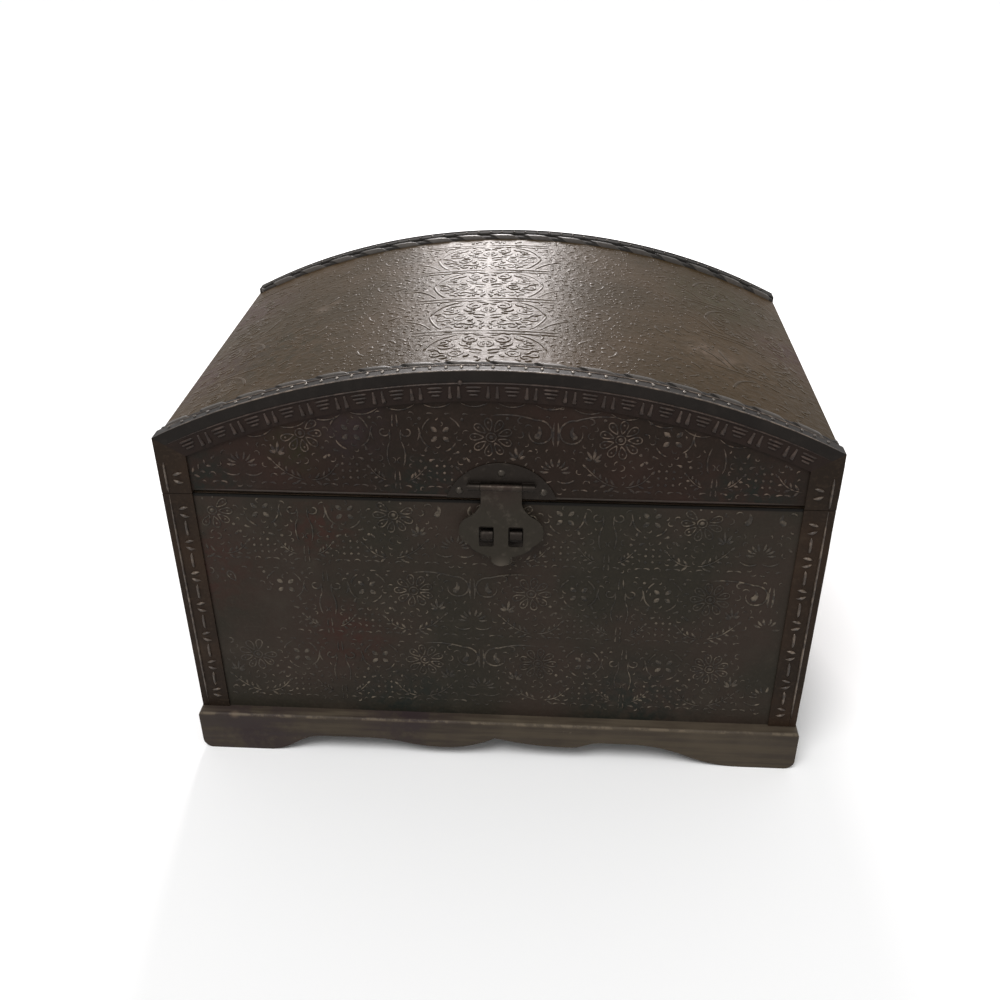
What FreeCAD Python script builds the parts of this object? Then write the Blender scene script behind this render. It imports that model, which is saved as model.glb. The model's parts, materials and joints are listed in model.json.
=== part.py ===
"""Dome top trunk: a board chest with a barrel lid, embossed covering, folded edgings and a lobed hasp.

The front faces -Y, +X is to the right of someone facing the front, and Z = 0 is the floor.
"""
import FreeCAD, Part
import math
import os
from FreeCAD import Vector

# Driving dimensions, in millimetres and degrees

# Carcass of the chest
carcass_width = 398.0
carcass_depth = 259.0
body_height = 169.6
board = 9.0
bottom_board = 6.0

# Covering on the boards, and the folded edging strips over the covering
cover = 1.2
edging = 1.3
edging_leg = 18.5

# Plinth boards and their scalloped lower edge, whose two halves were cut by eye and differ
plinth_height = 31.0
plinth_board = 18.0
plinth_front_reach = 7.6
plinth_side_reach = 1.2
plinth_edge_round = 2.0
foot_round = 7.0
cusp_height = 17.7
left_foot_length = 44.7
left_scallop_height = 14.0
left_lobe_height = 7.7
right_foot_length = 35.5
right_scallop_height = 16.7
right_lobe_height = 11.6

# Lid: seam, side walls, arched end panels and bent barrel
seam_gap = 2.4
corner_gap = 0.5
lid_side_height = 35.5
arch_rise = 47.2
end_board = 7.0
barrel_board = 5.0
rim_height = 2.2

# Rope moulding on the barrel, inside each rim
rope_width = 7.0
rope_height = 2.6
rope_facets = 6

# Butt hinges on the back
hinge_spacing_share = 0.608
leaf_length = 42.0
leaf_height = 21.0
leaf_sheet = 1.2
hinge_knuckle = 2.6
hinge_pin = 1.2
hinge_standoff = 0.3
knuckle_gap = 0.3
pin_clearance = 0.05
pin_proud = 0.6
leaf_nail_spacing = 26.0
leaf_nail_drop = 13.0

# Hasp plate, pin and strap
hasp_offset = 4.6
hasp_sheet = 1.0
moon_width = 66.0
moon_height = 24.1
hasp_pin = 1.0
hasp_pin_height = 9.0
hasp_standoff = 0.3
hasp_side_gap = 0.25
lug_width = 7.5
strap_neck = 24.5
strap_width = 50.8
strap_length = 46.7
hasp_rest_angle = 7.8
window_width = 9.0
window_height = 13.2
window_round = 1.2
window_spacing = 17.8
window_drop = 32.5
tab_width = 11.6
tab_length = 5.2
tab_angle = 22.0

# Catch plate with two bridge staples
catch_width = 40.0
catch_height = 27.0
catch_round = 6.0
staple_width = 7.4
staple_radius = 4.3
staple_drop = 34.3

# Nails with square shanks, in the hasp plate, the catch plate and the hinge leaves
nail_head = 2.3
nail_dome = 1.2
nail_shank = 1.8
nail_bite = 5.5
nail_sides = 12
nail_ring_shares = ((1.0, 0.0), (0.68, 0.7), (0.24, 1.0))
nail_inset = 8.0
nail_rise = 5.0
nail_drop = 6.8
flat_head = 2.0
flat_head_depth = 0.6
catch_nail_spacing = 29.0
drill_clearance = 0.05

# One overrun serves all through cuts
overrun = 2.0

# Lower edge of the plinth: places of the arch's two ends and of the lobe, as shares of the span inside the foot
left_scallop_shares = (0.744, 0.545, 0.225)
right_scallop_shares = (0.545, 0.434, 0.298)

# Outline of the strap: shares of its half width and of its length below the pin
flare_start_share = 0.24
flare_middle_shares = (0.575, 0.335)
flare_end_shares = (0.80, 0.435)
lobe_middle_shares = (1.0, 0.655)
lobe_end_shares = (0.80, 0.812)
notch_middle_shares = (0.735, 0.835)
notch_end_shares = (0.70, 0.872)

# Worked-out places

half_width = carcass_width / 2
half_depth = carcass_depth / 2
cover_x = half_width + cover
cover_y = half_depth + cover
edge_x = cover_x + edging
edge_y = cover_y + edging
plinth_x = edge_x + plinth_side_reach
plinth_y = edge_y + plinth_front_reach
inner_y = half_depth - board
panel_y = half_depth - end_board
body_top = plinth_height + body_height
lid_bottom = body_top + seam_gap
lid_corner_z = lid_bottom + lid_side_height
lid_edging_bottom = body_top + corner_gap

# Arcs of the lid share one axis along Y, far below the lid
rim_radius = (edge_x ** 2 + arch_rise ** 2) / (2 * arch_rise)
arch_axis_z = lid_corner_z + arch_rise - rim_radius
panel_radius = rim_radius - edging
band_radius = rim_radius - edging_leg
barrel_cover_radius = rim_radius - rim_height
barrel_radius = barrel_cover_radius - cover
barrel_inner_radius = barrel_radius - barrel_board

# Hinge axis, along X behind the seam
hinge_spacing = hinge_spacing_share * carcass_width
hinge_y = cover_y + hinge_standoff + hinge_knuckle
hinge_z = body_top + seam_gap / 2
knuckle_length = (leaf_length - 2 * knuckle_gap) / 3

# Hasp pin axis, along X in front of the lid
hasp_knuckle = hasp_pin + pin_clearance + hasp_sheet
plate_front = -(cover_y + hasp_sheet)
hasp_y = plate_front - hasp_standoff - hasp_knuckle
hasp_z = lid_bottom + hasp_pin_height
staple_z = hasp_z - staple_drop


# Small building blocks

def at(x, z):
    return Vector(x, 0, z)


def line(start, end):
    return Part.LineSegment(start, end).toShape()


def arc(start, middle, end):
    return Part.Arc(start, middle, end).toShape()


def box(x_from, x_to, y_from, y_to, z_from, z_to):
    corner = Vector(x_from, y_from, z_from)
    return Part.makeBox(x_to - x_from, y_to - y_from, z_to - z_from, corner)


def prism(edges, y_from, y_to):
    """Closed outline in the XZ plane, run from one Y to another."""
    face = Part.Face(Part.Wire(Part.__sortEdges__(edges)))
    face.translate(Vector(0, y_from, 0))
    return face.extrude(Vector(0, y_to - y_from, 0))


def rod_x(radius, x_from, x_to, y, z):
    return Part.makeCylinder(radius, x_to - x_from, Vector(x_from, y, z), Vector(1, 0, 0))


def mirror_x(shape):
    return shape.mirror(Vector(0, 0, 0), Vector(1, 0, 0))


def mirror_y(shape):
    return shape.mirror(Vector(0, 0, 0), Vector(0, 1, 0))


def arch_z(radius, x):
    return arch_axis_z + math.sqrt(radius ** 2 - x ** 2)


def arch_arc(radius, x_from, x_to):
    x_middle = (x_from + x_to) / 2
    return arc(
        at(x_from, arch_z(radius, x_from)),
        at(x_middle, arch_z(radius, x_middle)),
        at(x_to, arch_z(radius, x_to)),
    )


def under_arch(x_from, x_to, z_from, radius, y_from, y_to):
    """Wall with a flat foot and a top cut to the lid's arc."""
    foot_left = at(x_from, z_from)
    foot_right = at(x_to, z_from)
    edges = [
        line(foot_left, foot_right),
        line(foot_right, at(x_to, arch_z(radius, x_to))),
        arch_arc(radius, x_to, x_from),
        line(at(x_from, arch_z(radius, x_from)), foot_left),
    ]
    return prism(edges, y_from, y_to)


def bent_sheet(x_half, radius_inner, radius_outer, y_from, y_to):
    """Sheet bent to the lid's arc, with upright long edges."""
    edges = [
        arch_arc(radius_outer, -x_half, x_half),
        line(at(x_half, arch_z(radius_outer, x_half)), at(x_half, arch_z(radius_inner, x_half))),
        arch_arc(radius_inner, x_half, -x_half),
        line(at(-x_half, arch_z(radius_inner, -x_half)), at(-x_half, arch_z(radius_outer, -x_half))),
    ]
    return prism(edges, y_from, y_to)


# Nails, driven along +Y from the point where the head seats

def square_rod(side, y_from, y_to):
    return box(-side / 2, side / 2, y_from, y_to, -side / 2, side / 2)


def ring(radius, y):
    """Corners of a regular polygon round the Y axis."""
    corners = []
    for step in range(nail_sides):
        turn = 2 * math.pi * step / nail_sides
        corners.append(Vector(radius * math.cos(turn), y, radius * math.sin(turn)))
    return corners


def facet(corners):
    return Part.Face(Part.makePolygon(corners + corners[:1]))


def hammered_head():
    """Raised head of flat facets, from its rim to its crown."""
    rings = []
    for radius_share, height_share in nail_ring_shares:
        rings.append(ring(nail_head * radius_share, -nail_dome * height_share))
    facets = [facet(rings[0]), facet(rings[-1])]
    for lower, upper in zip(rings, rings[1:]):
        for step in range(nail_sides):
            facets.append(facet([lower[step - 1], lower[step], upper[step], upper[step - 1]]))
    return Part.Solid(Part.Shell(facets))


def dome_nail(length):
    return hammered_head().fuse(square_rod(nail_shank, 0, length)).removeSplitter()


def flat_nail(length):
    """Nail whose head lies flush in its plate."""
    head = Part.makeCylinder(flat_head, flat_head_depth, Vector(0, 0, 0), Vector(0, 1, 0))
    return head.fuse(square_rod(nail_shank, 0, length)).removeSplitter()


def nail_hole(length):
    """Square hole for a shank, from outside the head's seat to just past the tip."""
    return square_rod(nail_shank + 2 * drill_clearance, -overrun, length + drill_clearance)


def head_recess():
    return Part.makeCylinder(
        flat_head + drill_clearance, flat_head_depth + overrun, Vector(0, -overrun, 0), Vector(0, 1, 0)
    )


def placed(shape, places):
    """Copies at points on the front, or turned about Z onto the back."""
    copies = []
    for x, y, z in places:
        copy = shape.copy()
        if y > 0:
            copy.rotate(Vector(0, 0, 0), Vector(0, 0, 1), 180)
        copy.translate(Vector(x, y, z))
        copies.append(copy)
    return copies


def cut_all(shape, tools):
    for tool in tools:
        shape = shape.cut(tool)
    return shape


nail_length = hasp_sheet + cover + nail_bite
leaf_nail_length = leaf_sheet + cover + nail_bite
nail_side_z = lid_bottom + nail_rise
hasp_nail_places = (
    (hasp_offset, plate_front, lid_bottom + moon_height - nail_drop),
    (hasp_offset - moon_width / 2 + nail_inset, plate_front, nail_side_z),
    (hasp_offset + moon_width / 2 - nail_inset, plate_front, nail_side_z),
)
catch_nail_places = (
    (hasp_offset - catch_nail_spacing / 2, plate_front, staple_z),
    (hasp_offset + catch_nail_spacing / 2, plate_front, staple_z),
)
leaf_back = cover_y + leaf_sheet


def leaf_nail_places(side):
    places = []
    for hinge_x in (-hinge_spacing / 2, hinge_spacing / 2):
        for x in (hinge_x - leaf_nail_spacing / 2, hinge_x + leaf_nail_spacing / 2):
            places.append((x, leaf_back, hinge_z + side * leaf_nail_drop))
    return places


hasp_nail_holes = placed(nail_hole(nail_length), hasp_nail_places)
catch_nail_holes = placed(nail_hole(nail_length), catch_nail_places)
lid_leaf_nail_holes = placed(nail_hole(leaf_nail_length), leaf_nail_places(1))
body_leaf_nail_holes = placed(nail_hole(leaf_nail_length), leaf_nail_places(-1))


# Plinth

left_cut = (left_foot_length, left_scallop_height, left_lobe_height, left_scallop_shares)
right_cut = (right_foot_length, right_scallop_height, right_lobe_height, right_scallop_shares)


def ogee(start, end):
    """Two equal arcs that leave and arrive level."""
    run = end.x - start.x
    rise = end.z - start.z
    radius = (run ** 2 + rise ** 2) / (4 * abs(rise))
    turn = math.asin(abs(run) / (2 * radius)) / 2
    step_x = math.copysign(radius * math.sin(turn), run)
    step_z = math.copysign(radius * (1 - math.cos(turn)), rise)
    middle = at((start.x + end.x) / 2, (start.z + end.z) / 2)
    return [
        arc(start, at(start.x + step_x, start.z + step_z), middle),
        arc(middle, at(end.x - step_x, end.z - step_z), end),
    ]


def cusp_arc(lobe, tip):
    """Arc that leaves the lobe level and rises to the middle cusp."""
    run = tip.x - lobe.x
    rise = tip.z - lobe.z
    radius = (run ** 2 + rise ** 2) / (2 * rise)
    turn = math.asin(abs(run) / radius) / 2
    middle = at(lobe.x + math.copysign(radius * math.sin(turn), run), lobe.z + radius * (1 - math.cos(turn)))
    return arc(lobe, middle, tip)


def scalloped_half(end_x, reach, corner_round, side, cut):
    """Lower edge of half a plinth board, from its end to the middle cusp."""
    foot_length, scallop_height, lobe_height, shares = cut
    outer_share, inner_share, lobe_share = shares
    span = reach - foot_length
    foot_inner = at(side * span, 0)
    arch_outer = at(side * outer_share * span, scallop_height)
    arch_inner = at(side * inner_share * span, scallop_height)
    lobe = at(side * lobe_share * span, lobe_height)
    foot_outer = at(side * (end_x - corner_round), 0)
    edges = [line(foot_outer, foot_inner), line(arch_outer, arch_inner)]
    edges += ogee(foot_inner, arch_outer)
    edges += ogee(arch_inner, lobe)
    edges.append(cusp_arc(lobe, at(0, cusp_height)))
    if corner_round:
        slack = corner_round * (1 - math.sqrt(0.5))
        edges.append(
            arc(
                at(side * end_x, corner_round),
                at(side * (end_x - slack), slack),
                foot_outer,
            )
        )
    edges.append(line(at(side * end_x, corner_round), at(side * end_x, plinth_height)))
    return edges


def plinth_blank(end_x, reach, corner_round, outer_y, cut_left, cut_right):
    """Scalloped board along X with its outer face on -outer_y."""
    edges = scalloped_half(end_x, reach, corner_round, -1, cut_left)
    edges += scalloped_half(end_x, reach, corner_round, 1, cut_right)
    edges.append(line(at(-end_x, plinth_height), at(end_x, plinth_height)))
    return prism(edges, -outer_y, -outer_y + plinth_board)


def round_top_edges(blank, is_outer):
    edges = []
    for edge in blank.Edges:
        middle = edge.CenterOfMass
        on_top = abs(middle.z - plinth_height) < drill_clearance
        if on_top and is_outer(middle):
            edges.append(edge)
    return blank.makeFillet(plinth_edge_round, edges)


def plinth_front():
    blank = plinth_blank(plinth_x, plinth_x, foot_round, plinth_y, left_cut, right_cut)

    def is_outer(middle):
        return middle.y < -plinth_y + drill_clearance or abs(middle.x) > plinth_x - drill_clearance

    return round_top_edges(blank, is_outer)


def plinth_right():
    blank = plinth_blank(plinth_y - plinth_board, plinth_y, 0, plinth_x, left_cut, left_cut)

    def is_outer(middle):
        return middle.y < -plinth_x + drill_clearance

    rounded = round_top_edges(blank, is_outer)
    rounded.rotate(Vector(0, 0, 0), Vector(0, 0, 1), 90)
    return rounded


# Chest boards, covering and corner edgings

def front_board():
    blank = box(-half_width, half_width, -half_depth, -inner_y, plinth_height, body_top)
    return cut_all(blank, catch_nail_holes)


def back_board():
    blank = box(-half_width, half_width, inner_y, half_depth, plinth_height, body_top)
    return cut_all(blank, body_leaf_nail_holes)


def right_board():
    return box(half_width - board, half_width, -inner_y, inner_y, plinth_height, body_top)


def floor_board():
    inner_x = half_width - board
    return box(-inner_x, inner_x, -inner_y, inner_y, plinth_height, plinth_height + bottom_board)


def front_cover():
    blank = box(-cover_x, cover_x, -cover_y, -half_depth, plinth_height, body_top)
    return cut_all(blank, catch_nail_holes)


def back_cover():
    blank = box(-cover_x, cover_x, half_depth, cover_y, plinth_height, body_top)
    return cut_all(blank, body_leaf_nail_holes)


def right_cover():
    return box(half_width, cover_x, -half_depth, half_depth, plinth_height, body_top)


def body_edging():
    """Folded strip on the front right corner of the chest."""
    face_leg = box(edge_x - edging_leg, edge_x, -edge_y, -cover_y, plinth_height, body_top)
    side_leg = box(cover_x, edge_x, -cover_y, -panel_y, plinth_height, body_top)
    return face_leg.fuse(side_leg).removeSplitter()


# Lid boards and covering

def lid_front_panel():
    blank = under_arch(-cover_x, cover_x, lid_bottom, panel_radius, -half_depth, -panel_y)
    return cut_all(blank, hasp_nail_holes)


def lid_back_panel():
    blank = under_arch(-cover_x, cover_x, lid_bottom, panel_radius, panel_y, half_depth)
    return cut_all(blank, lid_leaf_nail_holes)


def lid_right_rail():
    return under_arch(half_width - board, half_width, lid_bottom, barrel_inner_radius, -panel_y, panel_y)


def lid_barrel():
    return bent_sheet(half_width, barrel_inner_radius, barrel_radius, -panel_y, panel_y)


def lid_front_cover():
    blank = under_arch(-cover_x, cover_x, lid_bottom, panel_radius, -cover_y, -half_depth)
    return cut_all(blank, hasp_nail_holes)


def lid_back_cover():
    blank = under_arch(-cover_x, cover_x, lid_bottom, panel_radius, half_depth, cover_y)
    return cut_all(blank, lid_leaf_nail_holes)


def lid_right_cover():
    return under_arch(half_width, cover_x, lid_bottom, barrel_radius, -panel_y, panel_y)


def lid_top_cover():
    return bent_sheet(cover_x, barrel_radius, barrel_cover_radius, -panel_y, panel_y)


# Lid edgings and rope mouldings

def rim_edging():
    """Arched strip on the front rim, mitred to the corner strips."""
    inner_x = edge_x - edging_leg
    inner_z = arch_z(band_radius, inner_x)
    face_leg = prism(
        [
            arch_arc(rim_radius, -edge_x, edge_x),
            line(at(edge_x, lid_corner_z), at(inner_x, inner_z)),
            arch_arc(band_radius, inner_x, -inner_x),
            line(at(-inner_x, inner_z), at(-edge_x, lid_corner_z)),
        ],
        -edge_y,
        -cover_y,
    )
    top_leg = bent_sheet(edge_x, panel_radius, rim_radius, -cover_y, -panel_y)
    return face_leg.fuse(top_leg).removeSplitter()


def lid_edging():
    """Folded strip on the front right corner of the lid."""
    inner_x = edge_x - edging_leg
    foot_inner = at(inner_x, lid_edging_bottom)
    foot_outer = at(edge_x, lid_edging_bottom)
    mitre_outer = at(edge_x, lid_corner_z)
    mitre_inner = at(inner_x, arch_z(band_radius, inner_x))
    face_leg = prism(
        [
            line(foot_inner, foot_outer),
            line(foot_outer, mitre_outer),
            line(mitre_outer, mitre_inner),
            line(mitre_inner, foot_inner),
        ],
        -edge_y,
        -cover_y,
    )
    side_leg = under_arch(cover_x, edge_x, lid_edging_bottom, panel_radius, -cover_y, -panel_y)
    return face_leg.fuse(side_leg).removeSplitter()


def rope():
    """Low moulding with a faceted half-oval section that follows the barrel inside the front rim."""
    base = barrel_cover_radius + arch_axis_z
    y_middle = -panel_y + rope_width / 2
    corners = []
    for step in range(rope_facets + 1):
        turn = math.pi * step / rope_facets
        corners.append(
            Vector(0, y_middle - rope_width / 2 * math.cos(turn), base + rope_height * math.sin(turn))
        )
    section = facet(corners)
    outer_radius = barrel_cover_radius + rope_height
    half_angle = math.degrees(math.asin(cover_x / outer_radius))
    axis_point = Vector(0, 0, arch_axis_z)
    section.rotate(axis_point, Vector(0, 1, 0), -half_angle)
    return section.revolve(axis_point, Vector(0, 1, 0), 2 * half_angle)


# Hinges

def knuckle_span(hinge_x, place):
    """X range of one of the three knuckles, counted from the left."""
    start = hinge_x - leaf_length / 2 + place * (knuckle_length + knuckle_gap)
    return start, start + knuckle_length


def hinge_leaf(hinge_x, side, places):
    """Leaf above (side 1) or below (side -1) the axis that owns the knuckles at the given places."""
    z_near = hinge_z + side * (hinge_knuckle + knuckle_gap)
    z_far = hinge_z + side * leaf_height
    x_from = hinge_x - leaf_length / 2
    leaf = box(x_from, x_from + leaf_length, cover_y, leaf_back, min(z_near, z_far), max(z_near, z_far))
    for place in places:
        start, end = knuckle_span(hinge_x, place)
        tongue = box(start, end, cover_y, leaf_back, min(hinge_z, z_near), max(hinge_z, z_near))
        leaf = leaf.fuse(tongue).fuse(rod_x(hinge_knuckle, start, end, hinge_y, hinge_z))
    bore = rod_x(
        hinge_pin + pin_clearance, x_from - overrun, x_from + leaf_length + overrun, hinge_y, hinge_z
    )
    leaf = leaf.removeSplitter().cut(bore)
    return cut_all(leaf, lid_leaf_nail_holes if side > 0 else body_leaf_nail_holes)


def hinge_rod(hinge_x):
    reach = leaf_length / 2 + pin_proud
    return rod_x(hinge_pin, hinge_x - reach, hinge_x + reach, hinge_y, hinge_z)


def hinge_nails(side):
    return Part.makeCompound(placed(dome_nail(leaf_nail_length), leaf_nail_places(side)))


# Hasp and catch

def hasp_plate():
    """Half-moon plate with two tongues rolled round the pin."""
    left = at(hasp_offset - moon_width / 2, lid_bottom)
    right = at(hasp_offset + moon_width / 2, lid_bottom)
    top = at(hasp_offset, lid_bottom + moon_height)
    plate = prism([arc(left, top, right), line(right, left)], plate_front, -cover_y)
    bore_radius = hasp_pin + pin_clearance
    inner = strap_neck / 2 + hasp_side_gap
    for side in (-1, 1):
        x_from = hasp_offset + min(side * inner, side * (inner + lug_width))
        x_to = x_from + lug_width
        roll = rod_x(hasp_knuckle, x_from, x_to, hasp_y, hasp_z)
        tongue = box(
            x_from, x_to, hasp_y, plate_front, hasp_z + hasp_knuckle - hasp_sheet, hasp_z + hasp_knuckle
        )
        bore = rod_x(bore_radius, x_from - overrun, x_to + overrun, hasp_y, hasp_z)
        plate = plate.fuse(roll).fuse(tongue).cut(bore)
    return cut_all(plate.removeSplitter(), hasp_nail_holes)


def hasp_rod():
    reach = strap_neck / 2 + hasp_side_gap + lug_width + pin_proud
    return rod_x(hasp_pin, hasp_offset - reach, hasp_offset + reach, hasp_y, hasp_z)


def hasp_nails():
    return Part.makeCompound(placed(dome_nail(nail_length), hasp_nail_places))


def strap_point(shares, side):
    return at(hasp_offset + side * shares[0] * strap_width / 2, hasp_z - shares[1] * strap_length)


def strap_side(side):
    """One side of the strap's outline, from the pin to the bottom lobe."""
    neck_x = hasp_offset + side * strap_neck / 2
    neck_top = at(neck_x, hasp_z)
    neck_low = at(neck_x, hasp_z - flare_start_share * strap_length)
    flare_end = strap_point(flare_end_shares, side)
    lobe_end = strap_point(lobe_end_shares, side)
    return [
        line(neck_top, neck_low),
        arc(neck_low, strap_point(flare_middle_shares, side), flare_end),
        arc(flare_end, strap_point(lobe_middle_shares, side), lobe_end),
        arc(lobe_end, strap_point(notch_middle_shares, side), strap_point(notch_end_shares, side)),
    ]


def rounded_window(x_centre, z_centre, width, height, radius, y_from, y_to):
    blank = box(
        x_centre - width / 2, x_centre + width / 2, y_from, y_to, z_centre - height / 2, z_centre + height / 2
    )
    upright = []
    for edge in blank.Edges:
        if abs(edge.tangentAt(edge.FirstParameter).y) > 0.5:
            upright.append(edge)
    return blank.makeFillet(radius, upright)


def finger_tab(y_front, y_back):
    """Tongue below the strap, bent forward so that a finger lifts it."""
    z_root = hasp_z - strap_length + hasp_sheet
    radius = tab_width / 2
    z_round = z_root - hasp_sheet - tab_length + radius / 2
    left = hasp_offset - radius
    right = hasp_offset + radius
    tab = prism(
        [
            line(at(left, z_root), at(right, z_root)),
            line(at(right, z_root), at(right, z_round)),
            arc(at(right, z_round), at(hasp_offset, z_round - radius / 2), at(left, z_round)),
            line(at(left, z_round), at(left, z_root)),
        ],
        y_front,
        y_back,
    )
    tab.rotate(Vector(0, y_back, z_root), Vector(1, 0, 0), -tab_angle)
    return tab


def hasp_strap():
    """Lobed strap, rolled round the pin and resting just in front of the staples."""
    y_back = hasp_y + hasp_knuckle
    y_front = y_back - hasp_sheet
    edges = strap_side(-1) + strap_side(1)
    bottom = at(hasp_offset, hasp_z - strap_length)
    edges.append(arc(strap_point(notch_end_shares, -1), bottom, strap_point(notch_end_shares, 1)))
    edges.append(line(at(hasp_offset - strap_neck / 2, hasp_z), at(hasp_offset + strap_neck / 2, hasp_z)))
    strap = prism(edges, y_front, y_back)
    for side in (-1, 1):
        window = rounded_window(
            hasp_offset + side * window_spacing / 2,
            hasp_z - window_drop,
            window_width,
            window_height,
            window_round,
            y_front - overrun,
            y_back + overrun,
        )
        strap = strap.cut(window)
    x_from = hasp_offset - strap_neck / 2
    x_to = hasp_offset + strap_neck / 2
    strap = strap.fuse(finger_tab(y_front, y_back))
    strap = strap.fuse(rod_x(hasp_knuckle, x_from, x_to, hasp_y, hasp_z)).removeSplitter()
    strap = strap.cut(rod_x(hasp_pin + pin_clearance, x_from - overrun, x_to + overrun, hasp_y, hasp_z))
    strap.rotate(Vector(0, hasp_y, hasp_z), Vector(1, 0, 0), -hasp_rest_angle)
    return strap


def catch_plate():
    """Plate on the chest with two bridges that stand through the strap's windows."""
    plate = rounded_window(
        hasp_offset, staple_z, catch_width, catch_height, catch_round, plate_front, -cover_y
    )
    for side in (-1, 1):
        x_middle = hasp_offset + side * window_spacing / 2
        x_from = x_middle - staple_width / 2
        x_to = x_middle + staple_width / 2
        outer = rod_x(staple_radius, x_from, x_to, plate_front, staple_z)
        inner = rod_x(staple_radius - hasp_sheet, x_from, x_to, plate_front, staple_z)
        behind = box(
            x_from, x_to, plate_front, plate_front + staple_radius,
            staple_z - staple_radius, staple_z + staple_radius,
        )
        plate = plate.fuse(outer.cut(inner).cut(behind))
    plate = cut_all(plate.removeSplitter(), catch_nail_holes)
    return cut_all(plate, placed(head_recess(), catch_nail_places))


def catch_nails():
    return Part.makeCompound(placed(flat_nail(nail_length), catch_nail_places))


# All pieces, by node name

def build_pieces():
    pieces = {
        "plinth_front": plinth_front(),
        "plinth_back": mirror_y(plinth_front()),
        "plinth_right": plinth_right(),
        "plinth_left": mirror_x(plinth_right()),
        "front_board": front_board(),
        "back_board": back_board(),
        "right_board": right_board(),
        "left_board": mirror_x(right_board()),
        "bottom_board": floor_board(),
        "front_cover": front_cover(),
        "back_cover": back_cover(),
        "right_cover": right_cover(),
        "left_cover": mirror_x(right_cover()),
        "lid_front_panel": lid_front_panel(),
        "lid_back_panel": lid_back_panel(),
        "lid_right_rail": lid_right_rail(),
        "lid_left_rail": mirror_x(lid_right_rail()),
        "lid_barrel": lid_barrel(),
        "lid_front_cover": lid_front_cover(),
        "lid_back_cover": lid_back_cover(),
        "lid_right_cover": lid_right_cover(),
        "lid_left_cover": mirror_x(lid_right_cover()),
        "lid_top_cover": lid_top_cover(),
        "rim_edging_front": rim_edging(),
        "rim_edging_back": mirror_y(rim_edging()),
        "rope_front": rope(),
        "rope_back": mirror_y(rope()),
        "hinge_body_nails": hinge_nails(-1),
        "hinge_lid_nails": hinge_nails(1),
        "hasp_plate": hasp_plate(),
        "hasp_pin": hasp_rod(),
        "hasp_nails": hasp_nails(),
        "hasp_strap": hasp_strap(),
        "catch_plate": catch_plate(),
        "catch_nails": catch_nails(),
    }
    for name, strip in (("corner_edging", body_edging()), ("lid_corner_edging", lid_edging())):
        pieces[name + "_front_right"] = strip
        pieces[name + "_front_left"] = mirror_x(strip)
        pieces[name + "_back_right"] = mirror_y(strip)
        pieces[name + "_back_left"] = mirror_x(mirror_y(strip))
    for name, hinge_x in (("left", -hinge_spacing / 2), ("right", hinge_spacing / 2)):
        pieces["hinge_body_leaf_" + name] = hinge_leaf(hinge_x, -1, (0, 2))
        pieces["hinge_lid_leaf_" + name] = hinge_leaf(hinge_x, 1, (1,))
        pieces["hinge_pin_" + name] = hinge_rod(hinge_x)
    return pieces


os.makedirs("parts", exist_ok=True)
for node, shape in build_pieces().items():
    shape.exportStep("parts/" + node + ".step")
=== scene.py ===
"""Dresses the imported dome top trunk: embossed covering, edgings, rope mouldings, wood and dark metal.

Lengths are in metres in the part's own frame: the front faces -Y, +X is to the right of someone
facing the front, and Z = 0 is the floor. A place on a panel is (u, v, h): across it, up it, and out of it.
"""
import json
import math
import random

import bpy
import numpy as np
from mathutils import Matrix, Vector


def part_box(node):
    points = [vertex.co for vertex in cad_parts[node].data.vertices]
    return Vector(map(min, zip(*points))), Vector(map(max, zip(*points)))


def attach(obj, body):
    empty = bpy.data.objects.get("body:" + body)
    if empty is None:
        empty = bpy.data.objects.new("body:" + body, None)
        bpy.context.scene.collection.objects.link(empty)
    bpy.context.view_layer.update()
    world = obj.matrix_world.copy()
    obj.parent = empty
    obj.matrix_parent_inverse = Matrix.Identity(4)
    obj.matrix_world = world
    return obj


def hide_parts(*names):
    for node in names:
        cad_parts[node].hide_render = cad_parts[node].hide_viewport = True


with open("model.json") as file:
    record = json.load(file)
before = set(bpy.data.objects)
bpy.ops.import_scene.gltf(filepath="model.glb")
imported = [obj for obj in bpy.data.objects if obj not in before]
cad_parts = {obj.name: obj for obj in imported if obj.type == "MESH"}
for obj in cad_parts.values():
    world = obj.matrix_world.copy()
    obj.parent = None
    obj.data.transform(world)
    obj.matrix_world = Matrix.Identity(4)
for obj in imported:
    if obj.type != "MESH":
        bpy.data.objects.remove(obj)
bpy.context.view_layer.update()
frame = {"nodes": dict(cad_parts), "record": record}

MM = 0.001
TINY = 0.01 * MM
SEED = 7
chance = random.Random(SEED)

# Camera of the photograph
CAMERA_PLACE = Vector((35.67, -672.07, 528.13)) * MM
CAMERA_YAW = 0.059
CAMERA_PITCH = 0.542
CAMERA_ROLL = -0.004
FOCAL_SHARE = 1.06
SENSOR = 36
CLIP_START = 10 * MM

# Sizes read from the frame
cover_low, cover_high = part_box("front_cover")
COVER_X = cover_high.x
COVER_Y = -cover_low.y
BODY_BOTTOM = cover_low.z
BODY_TOP = cover_high.z
edging_low, edging_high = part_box("corner_edging_front_right")
EDGE_X = edging_high.x
EDGE_Y = -edging_low.y
EDGING_LEG = edging_high.x - edging_low.x
PANEL_Y = -edging_high.y
LID_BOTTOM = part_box("lid_front_cover")[0].z
rope_low, rope_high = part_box("rope_front")
ROPE_RADIUS = (rope_high.y - rope_low.y) / 2
ROPE_Y = (rope_high.y + rope_low.y) / 2
ROPE_HEIGHT = rope_high.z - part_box("lid_top_cover")[1].z
plinth_low, plinth_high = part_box("plinth_front")
PLINTH_EDGE = (plinth_high.x, -plinth_low.y, plinth_high.z)
strap_low, strap_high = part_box("hasp_strap")
STRAP_MIDDLE = (strap_low.x + strap_high.x) / 2


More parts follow.
